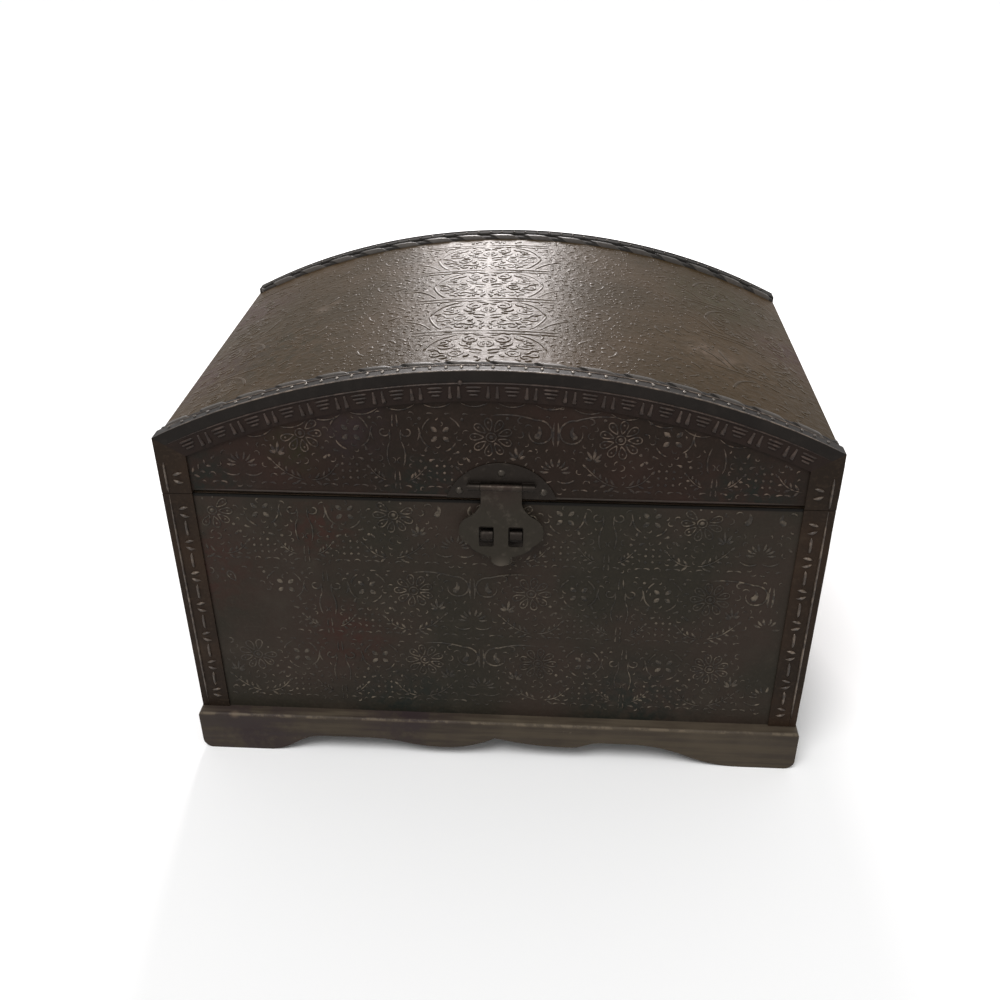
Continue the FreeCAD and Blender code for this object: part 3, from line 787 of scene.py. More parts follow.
# Coverings: dark, warm and worn colour, roughness and reflection of each, and what some have besides
COVERINGS = {
    "chest_covering": ((0.0250, 0.0215, 0.0155), (0.037, 0.026, 0.020), (0.048, 0.040, 0.030), 0.50, 0.11),
    # chest_relief and lid_relief: dark and warm colours below their covering's, as painted shade on the
    # raised forms beside their glints
    "chest_relief": ((0.0150, 0.0125, 0.0093), (0.021, 0.0155, 0.0115), (0.092, 0.074, 0.054), 0.38, 0.24),
    "lid_covering": ((0.0200, 0.0135, 0.0100), (0.033, 0.018, 0.014), (0.042, 0.028, 0.022), 0.50, 0.09),
    # lid_lip: lighter than the lid covering, as a painted highlight along the rolled edge
    "lid_lip": ((0.0270, 0.0195, 0.0150), (0.038, 0.025, 0.020), (0.060, 0.045, 0.036), 0.42, 0.18),
    "lid_relief": ((0.0120, 0.0084, 0.0065), (0.019, 0.0110, 0.0088), (0.088, 0.064, 0.048), 0.38, 0.23),
    "barrel_covering": (
        (0.039, 0.0243, 0.0098), (0.054, 0.0335, 0.0160), (0.074, 0.051, 0.033), 0.32, 0.031,
    ),
    "barrel_relief": ((0.040, 0.0265, 0.0130), (0.055, 0.036, 0.020), (0.085, 0.063, 0.043), 0.33, 0.060),
    "edging": ((0.0185, 0.0122, 0.0082), (0.037, 0.0215, 0.0130), (0.060, 0.041, 0.028), 0.50, 0.10),
    "edging_dull": ((0.0220, 0.0205, 0.0190), (0.030, 0.027, 0.024), (0.045, 0.041, 0.037), 0.75, 0.08),
    "edging_beads": ((0.036, 0.0255, 0.0190), (0.050, 0.033, 0.024), (0.150, 0.114, 0.086), 0.32, 0.40),
    "edging_band": ((0.0225, 0.0155, 0.0125), (0.032, 0.0205, 0.0165), (0.066, 0.046, 0.037), 0.40, 0.23),
    "rope": ((0.050, 0.044, 0.039), (0.064, 0.055, 0.048), (0.110, 0.098, 0.086), 0.42, 0.12),
    # rope_groove_shade: darker, as painted shade in the rope's grooves
    "rope_groove_shade": ((0.0150, 0.0135, 0.0120), (0.020, 0.017, 0.015), (0.035, 0.030, 0.026), 0.65, 0.10),
}
BARREL_SHEEN = 0.038
# glint is the share of painted highlights in the colour of raised forms
BESIDES = {
    "chest_covering": dict(stains=CHEST_STAINS, dents=8.0, seam=BODY_TOP),
    "chest_relief": dict(glint=0.9),
    "lid_covering": dict(stains=LID_STAINS, dents=8.0),
    "lid_relief": dict(glint=0.9),
    "barrel_covering": dict(stains=BARREL_STAINS, sheen=BARREL_SHEEN, dents=10.0),
    "barrel_relief": dict(sheen=BARREL_SHEEN),
    "edging_beads": dict(glint=0.65),
    "edging_band": dict(glint=0.5),
}
WARM_PATCHES = dict(scale=11, detail=4, limits=(0.42, 0.66))
STAIN_MOTTLE = dict(scale=140, detail=4, limits=(0.35, 0.65), levels=(0.2, 1))
RUBBED = dict(scale=34, detail=5, rough=0.65, limits=(0.52, 0.78))
SPECKLE = dict(scale=480, detail=3, limits=(0.5, 0.72))
SCRATCHES = dict(scale=60, detail=2, stretch=(1, 14, 8), limits=(0.66, 0.74))
# Painted highlights: their small spots and the broad patches that keep them
GLINT_SPOTS = dict(scale=260, detail=3, limits=(0.40, 0.64))
GLINT_WEAR = dict(scale=42, detail=3, limits=(0.36, 0.6))
UNEVEN_GLOSS = dict(scale=240, detail=5, limits=(0.3, 0.7))
COVER_GRAIN = dict(scale=900, detail=4, rough=0.6)
COVER_DENTS = dict(scale=230, detail=4)
RUBBED_SHARE = 0.55
SPECKLE_SHARE = 0.3
SCRATCH_SHARE = 0.35
GLINT_SHARE = 1.6
GLINT_LEAST_SHARE = 0.2
GLOSS_SPAN = (-0.04, 0.05)
GRAIN_DEPTH = 0.04 * MM
SHEEN_ROUGHNESS = 0.6
SHEEN_FADE = (60 * MM, 150 * MM)
DULL_SHARE = 0.5
# Painted shade under the lid's seam: its reach below the seam and its colour
SEAM_SHADE_REACH = 2.4 * MM
SEAM_SHADE = (0.0050, 0.0042, 0.0034)


def pressed(finish, gloss, height):
    """Uneven gloss and fine bumps of a pressed covering."""
    levels = tuple(gloss + step for step in GLOSS_SPAN)
    finish.set(Roughness=finish.pattern(**UNEVEN_GLOSS, levels=levels))
    finish.bump(height, GRAIN_DEPTH)


def covering(name, dark, warm, worn, gloss, specular, stains=(), glint=0, sheen=0, dents=0, seam=None):
    """Pressed covering: dark ground with warm patches, stains, rubbed spots, fine grain and scratches."""
    finish = Finish(name, Specular_IOR_Level=specular, Coat_Weight=sheen, Coat_Roughness=SHEEN_ROUGHNESS)
    if sheen:
        sides = finish.from_line((1, 0, 0), (0, 0, 0))
        finish.set(Specular_IOR_Level=finish.spread(sides, *SHEEN_FADE, specular, DULL_SHARE * specular))
    ground = finish.mix(finish.pattern(**WARM_PATCHES), dark, warm)
    ground = finish.stained(ground, stains, finish.pattern(**STAIN_MOTTLE))
    ground = finish.laid(ground, finish.pattern(**RUBBED), RUBBED_SHARE, worn)
    ground = finish.laid(ground, finish.pattern(**SPECKLE), SPECKLE_SHARE, worn)
    # Painted highlights: spots of a brighter worn colour on the raised forms, kept in broad patches
    if glint:
        kept = finish.pattern(**GLINT_WEAR, levels=(GLINT_LEAST_SHARE * glint, glint))
        ground = finish.laid(ground, finish.pattern(**GLINT_SPOTS), kept, tinted(worn, GLINT_SHARE))
    scratch = finish.pattern(**SCRATCHES)
    ground = finish.laid(ground, scratch, SCRATCH_SHARE, worn)
    # Painted shade: a dark band on the covering just under the seam, where the lid's shadow falls
    if seam:
        under = finish.from_line((0, 0, 1), (0, 0, seam))
        ground = finish.mix(finish.spread(under, SEAM_SHADE_REACH / 2, SEAM_SHADE_REACH, 1, 0), ground, SEAM_SHADE)
    finish.set(Base_Color=ground)
    height = finish.sum("ADD", finish.noise(**COVER_GRAIN), scratch)
    if dents:
        height = finish.sum("ADD", height, finish.sum("MULTIPLY", finish.noise(**COVER_DENTS), dents))
    pressed(finish, gloss, height)


BAND_LINE = -7.3 * MM
RIM_COLOURS = ((0.0180, 0.0115, 0.0092), (0.0140, 0.0115, 0.0100))
RIM_GLOSS = 0.5
RIM_REFLECTION = 0.10
RIM_PATCHES = dict(scale=30, detail=5, rough=0.65, limits=(0.4, 0.72))
RIM_RUBBED = dict(scale=150, detail=5, limits=(0.5, 0.75))
RIM_RUBBED_SHARE = 0.5
RIM_PATCH_SHARE = 1.35
RIM_WORN_SHARE = 1.9


def rim_covering(name):
    """Two coverings on the rim: the ornamented part, and the plain band outside its line."""
    finish = Finish(name, Specular_IOR_Level=RIM_REFLECTION)
    patches = finish.pattern(**RIM_PATCHES)
    rubbed = finish.pattern(**RIM_RUBBED)
    shades = []
    for colour in RIM_COLOURS:
        shade = finish.mix(patches, colour, tinted(colour, RIM_PATCH_SHARE))
        shades.append(finish.laid(shade, rubbed, RIM_RUBBED_SHARE, tinted(colour, RIM_WORN_SHARE)))
    radius = RIM_RADIUS + BAND_LINE
    reach = finish.from_line((1, 0, 1), (0, 0, ARCH_AXIS))
    edge = finish.spread(reach, radius - LINE / 2, radius + LINE / 2)
    finish.set(Base_Color=finish.mix(edge, *shades))
    pressed(finish, RIM_GLOSS, finish.noise(**COVER_GRAIN))


for name, values in COVERINGS.items():
    covering(name, *values, **BESIDES.get(name, {}))
rim_covering("edging_rim")

# Woods
PLINTH_WOOD = dict(light=(0.074, 0.058, 0.040), dark=(0.038, 0.028, 0.020))
WOODS = {
    "plinth_wood_long": dict(**PLINTH_WOOD, stains=PLINTH_STAINS, worn_edge=((0, 1, 1), PLINTH_EDGE)),
    "plinth_wood_side": dict(**PLINTH_WOOD, grain_axis="Y", worn_edge=((1, 0, 1), PLINTH_EDGE)),
    "carcass_wood": dict(light=(0.135, 0.095, 0.064), dark=(0.070, 0.047, 0.031)),
    # fillet: near black, as painted shade in the seam under the lid
    "fillet_wood_painted_shade": dict(light=(0.0100, 0.0076, 0.0058), dark=(0.0060, 0.0045, 0.0034)),
}
WOOD_REFLECTION = 0.2
GRAIN_STRETCH_SHARE = 0.06
GRAIN = dict(scale=260, detail=5, rough=0.6)
GRAIN_LIMITS = (0.35, 0.68)
RINGS = dict(scale=60, detail=3, rough=0.5)
RING_LIMITS = (0.48, 0.66)
BLOTCHES = dict(scale=16, detail=4, limits=(0.42, 0.70))
WOOD_MOTTLE = dict(scale=55, detail=5, rough=0.65, limits=(0.36, 0.56), levels=(0.1, 1))
RUBBED_EDGE = dict(scale=110, detail=5, rough=0.7, limits=(0.44, 0.6))
DINTS = dict(scale=420, detail=3, limits=(0.72, 0.84))
BLOTCH_SHARE = 0.5
RING_SHADE_SHARE = 0.6
BLOTCH_SHADE_SHARE = 1.3
PALE_SHARE = 1.9
WOOD_GLOSS = (0.3, 0.7, 0.5, 0.7)
WOOD_DEPTH = 0.15 * MM
EDGE_WEAR = 2.4 * MM


def wood(name, light, dark, grain_axis="X", stains=(), worn_edge=None):
    """Stained wood with grain along one axis, dents, stains, and one edge rubbed pale."""
    pale = tinted(light, PALE_SHARE)
    finish = Finish(name, Specular_IOR_Level=WOOD_REFLECTION)
    stretch = tuple(GRAIN_STRETCH_SHARE if axis == grain_axis else 1.0 for axis in "XYZ")
    grain = finish.noise(stretch=stretch, **GRAIN)
    rings = finish.noise(stretch=stretch, **RINGS)
    stain = finish.mix(finish.spread(grain, *GRAIN_LIMITS), dark, light)
    ring_shade = finish.spread(rings, *RING_LIMITS)
    stain = finish.laid(stain, ring_shade, BLOTCH_SHARE, tinted(dark, RING_SHADE_SHARE))
    stain = finish.laid(stain, finish.pattern(**BLOTCHES), BLOTCH_SHARE, tinted(light, BLOTCH_SHADE_SHARE))
    stain = finish.stained(stain, stains, finish.pattern(**WOOD_MOTTLE))
    if worn_edge:
        edge = finish.spread(finish.from_line(*worn_edge), 0, EDGE_WEAR, 1, 0)
        stain = finish.laid(stain, edge, finish.pattern(**RUBBED_EDGE), pale)
    finish.set(Base_Color=finish.mix(finish.pattern(**DINTS), stain, pale))
    finish.set(Roughness=finish.spread(grain, *WOOD_GLOSS))
    finish.bump(finish.sum("ADD", grain, rings), WOOD_DEPTH)


for name, values in WOODS.items():
    wood(name, **values)

# Metals
METALS = {
    "dark_metal": dict(colour=(0.0172, 0.0130, 0.0100), worn=(0.040, 0.032, 0.025), gloss=0.44),
    "strap_metal": dict(
        colour=(0.0270, 0.0225, 0.0165), worn=(0.060, 0.050, 0.039), gloss=0.46,
        rubbed_places=((STRAP_MIDDLE, strap_low.y, strap_low.z),), stains=STRAP_STAINS,
    ),
    "nail_metal": dict(
        colour=(0.230, 0.205, 0.180), worn=(0.330, 0.305, 0.280), gloss=0.36, stains=NAIL_SIDE_SHADES,
    ),
    "dull_nail": dict(colour=(0.042, 0.035, 0.028), worn=(0.120, 0.102, 0.084), gloss=0.38),
    "stub_painted_shade": dict(colour=(0.0030, 0.0027, 0.0024), worn=(0.0070, 0.0060, 0.0050), gloss=0.6),
}
METALLIC = 0.8
METAL_RUBBED = dict(scale=160, detail=5, rough=0.65, limits=(0.52, 0.8))
METAL_GLOSS = dict(scale=300, detail=4, limits=(0.3, 0.7))
METAL_GLOSS_SPAN = (-0.06, 0.1)
PITS = dict(scale=1400, detail=3)
PIT_DEPTH = 0.03 * MM
RUBBED_AND_HIGHLIT_REACH = 8 * MM


def metal(name, colour, worn, gloss, rubbed_places=(), stains=()):
    """Darkened sheet metal with rubbed, brighter patches and fine pits."""
    finish = Finish(name, Metallic=METALLIC)
    rubbed = finish.pattern(**METAL_RUBBED)
    # Listed places are lighter too: rubbed wear with a painted highlight, as on the strap's bent tab
    for place in rubbed_places:
        rubbed = finish.sum("MAXIMUM", rubbed, finish.near(place, RUBBED_AND_HIGHLIT_REACH))
    # Stains: rust on the strap, and painted shade on the nails towards both sides
    for place, reach, stain in stains:
        colour = finish.mix(finish.near(place, reach), colour, stain)
    finish.set(Base_Color=finish.mix(rubbed, colour, worn))
    levels = tuple(gloss + step for step in METAL_GLOSS_SPAN)
    finish.set(Roughness=finish.pattern(**METAL_GLOSS, levels=levels))
    finish.bump(finish.noise(**PITS), PIT_DEPTH)


for name, values in METALS.items():
    metal(name, **values)


# Embossed panels

FIELD_MARGIN = 1.5 * MM
FIELD_X = EDGE_X - EDGING_LEG - FIELD_MARGIN
REPEATS = 3
STRIKE_SHARES = (0.45, 1.08)
WORN_AWAY_SHARE = 0.15
CHEST_ROWS = 3
CHEST_LIFT = 5 * MM
CHEST_AXES = (-102 * MM, -107 * MM, -117 * MM)
CHEST_WEAR = (
    (-160 * MM, 110 * MM, 62 * MM),
    (176 * MM, 95 * MM, 40 * MM),
    (20 * MM, 36 * MM, 26 * MM),
)
SIDE_AXES = (0, 4 * MM, 9 * MM)
LID_AXIS = -57 * MM
LID_SIDE_DROP = 12 * MM
LID_SIDE_MARGIN = 4 * MM
BARREL_MARGIN = 3 * MM
BARREL_ROWS = 5
BARREL_ROW = -68.8 * MM
BARREL_AXES = (-100 * MM, -102 * MM, -105 * MM, -108 * MM, -111 * MM)
BARREL_MIDDLE = -9 * MM
BARREL_CREST = 64 * MM
BARREL_RELIEF_SHARES = (0.19, 0.74)


def both_halves(half):
    return half, mirrored(half)


PANEL_TILES = both_halves(half_tile(LINE))
BARREL_TILES = both_halves(barrel_half_tile(BARREL_LINE))


def even_wear(u, v):
    return 1.0


def chest_wear(u, v):
    """Flattened round a few places on the front."""
    strength = 1.0
    for patch_u, patch_v, radius in CHEST_WEAR:
        gap = math.hypot(u - patch_u, v - patch_v) / radius
        strength *= min(1, gap ** 2)
    return strength


def barrel_wear(u, v):
    """Crisp along the crown and rubbed flat towards the sides."""
    low, high = BARREL_RELIEF_SHARES
    return low + (high - low) * math.exp(-((u - BARREL_MIDDLE) / BARREL_CREST) ** 2)


def emboss(name, body, surface, axes, inside, finish, wear=even_wear, tiles=PANEL_TILES):
    """Rows of the repeat on one panel, with each form that would cross its border left out."""
    shapes = []
    for axis_u, row_v in axes:
        for half in tiles:
            for points, faces in half:
                moved = points + (axis_u, row_v, 0)
                if not inside(moved[:, 0], moved[:, 1]).all():
                    continue
                middle = moved.mean(0)
                strength = chance.uniform(*STRIKE_SHARES) * wear(middle[0], middle[1])
                if strength < WORN_AWAY_SHARE:
                    continue
                moved[:, 2] = np.where(moved[:, 2] > 0, moved[:, 2] * strength, moved[:, 2])
                shapes.append((moved, faces))
    piece_of("embossing_" + name, shapes, surface, body, finish)


def repeats(first_axes, first_row, rows, reach):
    """Axes of the repeat across a panel, with each row's own sideways shift."""
    places = []
    for row in range(rows):
        axis = first_axes[row % len(first_axes)]
        for step in range(-REPEATS, REPEATS + 1):
            u = axis + 2 * TILE * step
            if abs(u) < reach + TILE:
                places.append((u, first_row + row * ROW))
    return places


def within(u_limit, v_from, v_to):
    return lambda u, v: (abs(u) < u_limit) & (v > v_from) & (v < v_to)


def under_band(u, v):
    """Lid front between the seam and the ornamented band."""
    limit = RIM_RADIUS - EDGING_LEG - FIELD_MARGIN
    low_enough = u ** 2 + (v - ARCH_AXIS) ** 2 < limit ** 2
    return (abs(u) < FIELD_X) & (v > LID_BOTTOM + FIELD_MARGIN) & low_enough


front_surface = front_at(COVER_Y)
right_surface = right_at(COVER_X)
barrel_surface = arch_top(BARREL_RADIUS)
chest_heights = (BODY_BOTTOM + FIELD_MARGIN, BODY_TOP - FIELD_MARGIN)
chest_row = BODY_TOP - CHEST_ROWS * ROW + CHEST_LIFT
chest_field = within(FIELD_X, *chest_heights)
chest_axes = repeats(CHEST_AXES, chest_row, CHEST_ROWS, COVER_X)
side_field = within(PANEL_Y - FIELD_MARGIN, *chest_heights)
side_axes = repeats(SIDE_AXES, chest_row, CHEST_ROWS, COVER_Y)
lid_foot = LID_BOTTOM + FIELD_MARGIN
lid_axes = repeats((LID_AXIS,), lid_foot, 2, COVER_X)
lid_side_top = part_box("lid_right_cover")[1].z - LID_SIDE_MARGIN
lid_side_field = within(PANEL_Y - FIELD_MARGIN, lid_foot, lid_side_top)
lid_side_axes = repeats((0,), LID_BOTTOM - LID_SIDE_DROP, 1, COVER_Y)
barrel_reach = BARREL_RADIUS * math.asin(COVER_X / BARREL_RADIUS)
barrel_v = PANEL_Y - 2 * ROPE_RADIUS - FIELD_MARGIN
barrel_field = within(barrel_reach - BARREL_MARGIN, -barrel_v, barrel_v)
barrel_axes = repeats(BARREL_AXES, BARREL_ROW - ROW, BARREL_ROWS, barrel_reach)
barrel_panel = (barrel_axes, barrel_field, "barrel_relief", barrel_wear, BARREL_TILES)
for name, opposite, body, surface, axes, field, wear in (
    ("front", "back", "chest", front_surface, chest_axes, chest_field, chest_wear),
    ("right", "left", "chest", right_surface, side_axes, side_field, even_wear),
    ("lid_front", "lid_back", "lid", front_surface, lid_axes, under_band, even_wear),
    ("lid_right", "lid_left", "lid", right_surface, lid_side_axes, lid_side_field, even_wear),
):
    emboss(name, body, surface, axes, field, body + "_relief", wear)
    emboss(opposite, body, half_turned(surface), axes, field, body + "_relief")
emboss("barrel", "lid", barrel_surface, *barrel_panel)


# Ornament of the edging strips

STRIP_GAP = 0.6 * MM
STRIP_LINE = 1.5 * MM
STRIP_SLIP = 0.3 * MM
LINE_INSET = 4.3 * MM
BEAD_INSET = 11.5 * MM
BEAD_LENGTH = 6.0 * MM
SIDE_LINE_INSET = 2.6 * MM
SIDE_BEAD_INSET = 6.2 * MM
SIDE_BEAD_LENGTH = 4.2 * MM
BEAD_SPREAD = 1.1 * MM
BEAD_PITCH = 23 * MM
BEAD_GAP = 4.2 * MM
BEAD_WIDTH = 2.3 * MM
BEAD_HEIGHT = 1.2 * MM
DASH_HEIGHT = 0.8 * BEAD_HEIGHT
DASH_LENGTH = 11 * MM
DASH_WIDTH = 2.0 * MM
DASH_BOW = 0.4 * MM
LID_STRIP_GAP = 4 * MM
LID_SIDE_STRIP_GAP = 2 * MM


def slip(reach):
    """Small miss of the hand, either way."""
    return chance.uniform(-reach, reach)


def bead_strip(edge, line_inset, inset, length, v_from, v_to):
    """Upright strip with its folded edge at u = edge: one line, then pairs of beads with a dash between."""
    low = v_from + STRIP_GAP
    high = v_to - STRIP_GAP
    bead_u = edge - inset
    line = [(edge - line_inset, v) for v in np.linspace(low, high, 12)]
    shapes = [stroke(line, STRIP_LINE, DASH_HEIGHT)]
    pairs = max(1, round((high - low) / BEAD_PITCH))
    pitch = (high - low) / pairs
    for pair in range(pairs):
        middle = low + (pair + 0.5) * pitch
        for side in (-1, 1):
            v = middle + side * BEAD_GAP / 2
            start = (bead_u - length / 2, v + side * BEAD_SPREAD + slip(STRIP_SLIP))
            end = (bead_u + length / 2, v - side * BEAD_SPREAD / 2)
            path = bend(start, (bead_u, v + side * BEAD_SPREAD), end)
            shapes.append(stroke(path, BEAD_WIDTH, BEAD_HEIGHT, leaf_shape))
        if pair:
            v = middle - pitch / 2
            path = bend((bead_u, v - DASH_LENGTH / 2), (bead_u + DASH_BOW, v), (bead_u, v + DASH_LENGTH / 2))
            shapes.append(stroke(path, DASH_WIDTH, DASH_HEIGHT))
    return shapes


lid_mitre_z = ARCH_AXIS + math.sqrt((RIM_RADIUS - EDGING_LEG) ** 2 - (EDGE_X - EDGING_LEG) ** 2)
front_top = lid_mitre_z - LID_STRIP_GAP
side_top = LID_CORNER_Z - LID_SIDE_STRIP_GAP
lid_strip_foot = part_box("lid_corner_edging_front_right")[0].z
front_strip = (front_at(EDGE_Y), EDGE_X, LINE_INSET, BEAD_INSET, BEAD_LENGTH)
side_strip = (right_at(EDGE_X), EDGE_Y, SIDE_LINE_INSET, SIDE_BEAD_INSET, SIDE_BEAD_LENGTH)
for name, body, (surface, *sizes), v_from, v_to in (
    ("corner_beads", "chest", front_strip, BODY_BOTTOM, BODY_TOP),
    ("corner_beads_side", "chest", side_strip, BODY_BOTTOM, BODY_TOP),
    ("lid_corner_beads", "lid", front_strip, lid_strip_foot, front_top),
    ("lid_corner_beads_side", "lid", side_strip, lid_strip_foot, side_top),
):
    strip = bead_strip(*sizes, v_from, v_to)
    pair_of((name, name + "_opposite"), strip + mirrored(strip), surface, body, "edging_beads")


# Ornament of the arched rims

BAND_LINE_INSET = 7 * MM
BAND_BAR_TOP = -9.2 * MM
BAND_BAR_FOOT = -16.2 * MM
BAND_PITCH = 22.4 * MM
BAND_BAR_GAP = 5.2 * MM
BAND_BAR_WIDTH = 3.3 * MM
BAND_DASH = 9.6 * MM
BAND_DASH_SHARES = (1.0, 0.92, 0.6)
BAND_DASH_DROP = 0.6 * MM
BAND_DASH_STEP = 2.3 * MM
BAND_DASH_WIDTH = 1.5 * MM
BAND_DASH_HEIGHT = 0.7 * BEAD_HEIGHT
BELL_FOOT_SHARE = 0.45
BELL_POWER = 1.5
STUD_PLACE = (-18.6 * MM, -6.9 * MM)
STUD_RADIUS = 1.7 * MM
SWAG_TOP = -19.6 * MM
SWAG_DIP = -25 * MM
SWAG_GAP = 2.4 * MM
SWAG_LINE = 0.8 * LINE


def bell_shape(share):
    return BELL_FOOT_SHARE + (1 - BELL_FOOT_SHARE) * share ** BELL_POWER


def level_line(u_reach, v, width, height, count=90):
    return stroke([(u, v) for u in np.linspace(-u_reach, u_reach, count)], width, height)


def arch_band():
    """Line under the plain band, then pairs of flared bars with long dashes between."""
    shapes = [level_line(ARC_REACH - BAND_LINE_INSET, BAND_LINE, LINE, HIGH_RELIEF)]
    shapes.append(dome(STUD_PLACE, STUD_RADIUS, BEAD_HEIGHT))
    reach = ARC_REACH - EDGING_LEG - BAND_PITCH / 4
    pairs = 2 * int(reach / BAND_PITCH) + 1
    for pair in range(pairs):
        middle = (pair - (pairs - 1) / 2) * BAND_PITCH
        for u in (middle - BAND_BAR_GAP / 2, middle + BAND_BAR_GAP / 2):
            foot = (u + slip(STRIP_SLIP), BAND_BAR_FOOT)
            path = bend((u, BAND_BAR_TOP), (u, (BAND_BAR_TOP + BAND_BAR_FOOT) / 2), foot)
            shapes.append(stroke(path, BAND_BAR_WIDTH, BEAD_HEIGHT, bell_shape))
    for gap in range(pairs + 1):
        gap_u = (gap - pairs / 2) * BAND_PITCH
        for row, length_share in enumerate(BAND_DASH_SHARES):
            v = BAND_BAR_TOP - (BAND_DASH_DROP + BAND_DASH_STEP * row)
            half = BAND_DASH * length_share / 2
            path = bend((gap_u - half, v), (gap_u, v), (gap_u + half, v))
            shapes.append(stroke(path, BAND_DASH_WIDTH, BAND_DASH_HEIGHT))
    return shapes


def swags():
    """Thin garlands that hang below the band, on the covering."""
    shapes = []
    count = int((ARC_REACH - EDGING_LEG - BAND_PITCH) / BAND_PITCH)
    for step in range(-count, count):
        start = step * BAND_PITCH + SWAG_GAP
        end = (step + 1) * BAND_PITCH - SWAG_GAP
        path = bend((start, SWAG_TOP), ((start + end) / 2, SWAG_DIP), (end, SWAG_TOP), count=11)
        shapes.append(stroke(path, SWAG_LINE))
    return shapes


band_names = ("lid_band_front", "lid_band_back")
swag_names = ("lid_swags_front", "lid_swags_back")
pair_of(band_names, arch_band(), arch_front(EDGE_Y), "lid", "edging_band")
pair_of(swag_names, swags(), arch_front(COVER_Y), "lid", "lid_relief")

RIM_BEAD_WIDTH = 1.6 * MM
RIM_LINE_INSET = 8.4 * MM
RIM_NAIL_INSET = 5.5 * MM
RIM_NAIL_V = RIM_NAIL_INSET - EDGE_Y
RIM_NAIL_PITCH = 9.0 * MM
RIM_NAIL_RADIUS = 1.2 * MM
RIM_NAIL_HEIGHT = 0.8 * MM
RIM_NAIL_SLIP = 0.4 * MM
LOST_NAIL_U = 68.7 * MM
STUB_RADIUS = 1.5 * MM
STUB_HEIGHT = 0.25 * MM


def rim_bead():
    """Rounded front edge and thin inner line on top of the rim."""
    reach = ARC_REACH - STRIP_GAP
    edge = level_line(reach, -EDGE_Y + RIM_BEAD_WIDTH / 2, RIM_BEAD_WIDTH, LOW_RELIEF)
    return [edge, level_line(reach, -EDGE_Y + RIM_LINE_INSET, LINE, LOW_RELIEF)]


def rim_nails(lost_u):
    """Row of small nail heads, with one lost."""
    shapes = []
    count = int((ARC_REACH - RIM_NAIL_PITCH / 2) / RIM_NAIL_PITCH)
    for step in range(-count, count + 1):
        u = step * RIM_NAIL_PITCH
        if abs(u - lost_u) > RIM_NAIL_PITCH / 2:
            place = (u + slip(RIM_NAIL_SLIP), RIM_NAIL_V)
            shapes.append(dome(place, RIM_NAIL_RADIUS, RIM_NAIL_HEIGHT))
    return shapes


rim_top = arch_top(RIM_RADIUS)
rim_back = half_turned(rim_top)
# Stub of the lost nail, near black as painted shade of the empty hole
stub = [dome((LOST_NAIL_U, RIM_NAIL_V), STUB_RADIUS, STUB_HEIGHT)]
piece_of("rim_beads_front", rim_bead(), rim_top, "lid", "edging_beads")
piece_of("rim_beads_back", rim_bead(), rim_back, "lid", "edging_dull")
piece_of("rim_nails_front", rim_nails(LOST_NAIL_U), rim_top, "lid", "nail_metal")
piece_of("rim_nails_back", rim_nails(ARC_REACH), rim_back, "lid", "dull_nail")
piece_of("rim_nail_stub", stub, rim_top, "lid", "stub_painted_shade")


# Rolled lower edge of the lid's covering

LIP_WIDTH = 1.5 * MM
LIP_HEIGHT = 0.6 * MM

for names, surface, u_reach in (
    (("lid_lip_front", "lid_lip_back"), front_surface, EDGE_X - EDGING_LEG),
    (("lid_lip_right", "lid_lip_left"), right_surface, PANEL_Y),
):
    lip = level_line(u_reach, LID_BOTTOM + LIP_WIDTH / 2, LIP_WIDTH, LIP_HEIGHT, count=40)
    pair_of(names, [lip], surface, "lid", "lid_lip")


# Rope mouldings: slanted strands with a lower, narrow strand between them

ROPE_PITCH = 25.4 * MM
ROPE_SKEW = 6 * MM
ROPE_BED = -0.3 * MM
ROPE_ACROSS = 13
ROPE_SIDES = ROPE_ACROSS + 2
ROPE_END_POWER = 10
ROPE_CROWN_POWER = 3.5
ROPE_GROOVE_SHARE = 0.7
ROPE_END_SHARE = 0.62
ROPE_STRAND_SHARES = (
    (0.0, 0.50), (0.02, 0.84), (0.06, 0.95), (0.2, 1.0), (0.4, 1.0), (0.56, 0.96), (0.62, 0.86),
    (0.64, 0.50), (0.68, 0.46), (0.76, 0.58), (0.88, 0.58), (0.96, 0.46),
)


def rope_columns(u_reach):
    """Places along the moulding, with each one's share of the full height."""
    columns = [(-u_reach, ROPE_END_SHARE)]
    count = math.ceil(u_reach / ROPE_PITCH)
    for strand in range(-count, count):
        for place_share, height_share in ROPE_STRAND_SHARES:
            u = (strand + place_share) * ROPE_PITCH
            if abs(u) < u_reach - STRIP_GAP:
                columns.append((u, height_share))
    columns.append((u_reach, ROPE_END_SHARE))
    return columns


def rope_shape(columns, u_reach):
    points = []
    for place, height_share in columns:
        skew = ROPE_SKEW * (1 - (abs(place) / u_reach) ** ROPE_END_POWER)
        for share in np.linspace(-1, 1, ROPE_ACROSS):
            u = place - skew * math.asin(share) / (math.pi / 2)
            rise = ROPE_HEIGHT * height_share * (1 - abs(share) ** ROPE_CROWN_POWER)
            points.append((u, ROPE_Y + ROPE_RADIUS * share, rise))
        for share in (1, -1):
            points.append((place - skew * share, ROPE_Y + ROPE_RADIUS * share, ROPE_BED))
    faces = [(a, d, c, b) for a, b, c, d in ring_quads(len(columns), ROPE_SIDES)]
    faces.append(tuple(range(ROPE_SIDES)))
    faces.append(tuple(reversed(range(len(points) - ROPE_SIDES, len(points)))))
    return np.array(points), faces


def rope_groove_shade(columns):
    """Which faces lie in a groove and take the painted shade, with the two end faces last."""
    grooves = []
    for (u, height_share), (next_u, next_share) in zip(columns, columns[1:]):
        grooves += [min(height_share, next_share) < ROPE_GROOVE_SHARE] * ROPE_SIDES
    return np.array(grooves + [False, False], np.int32)


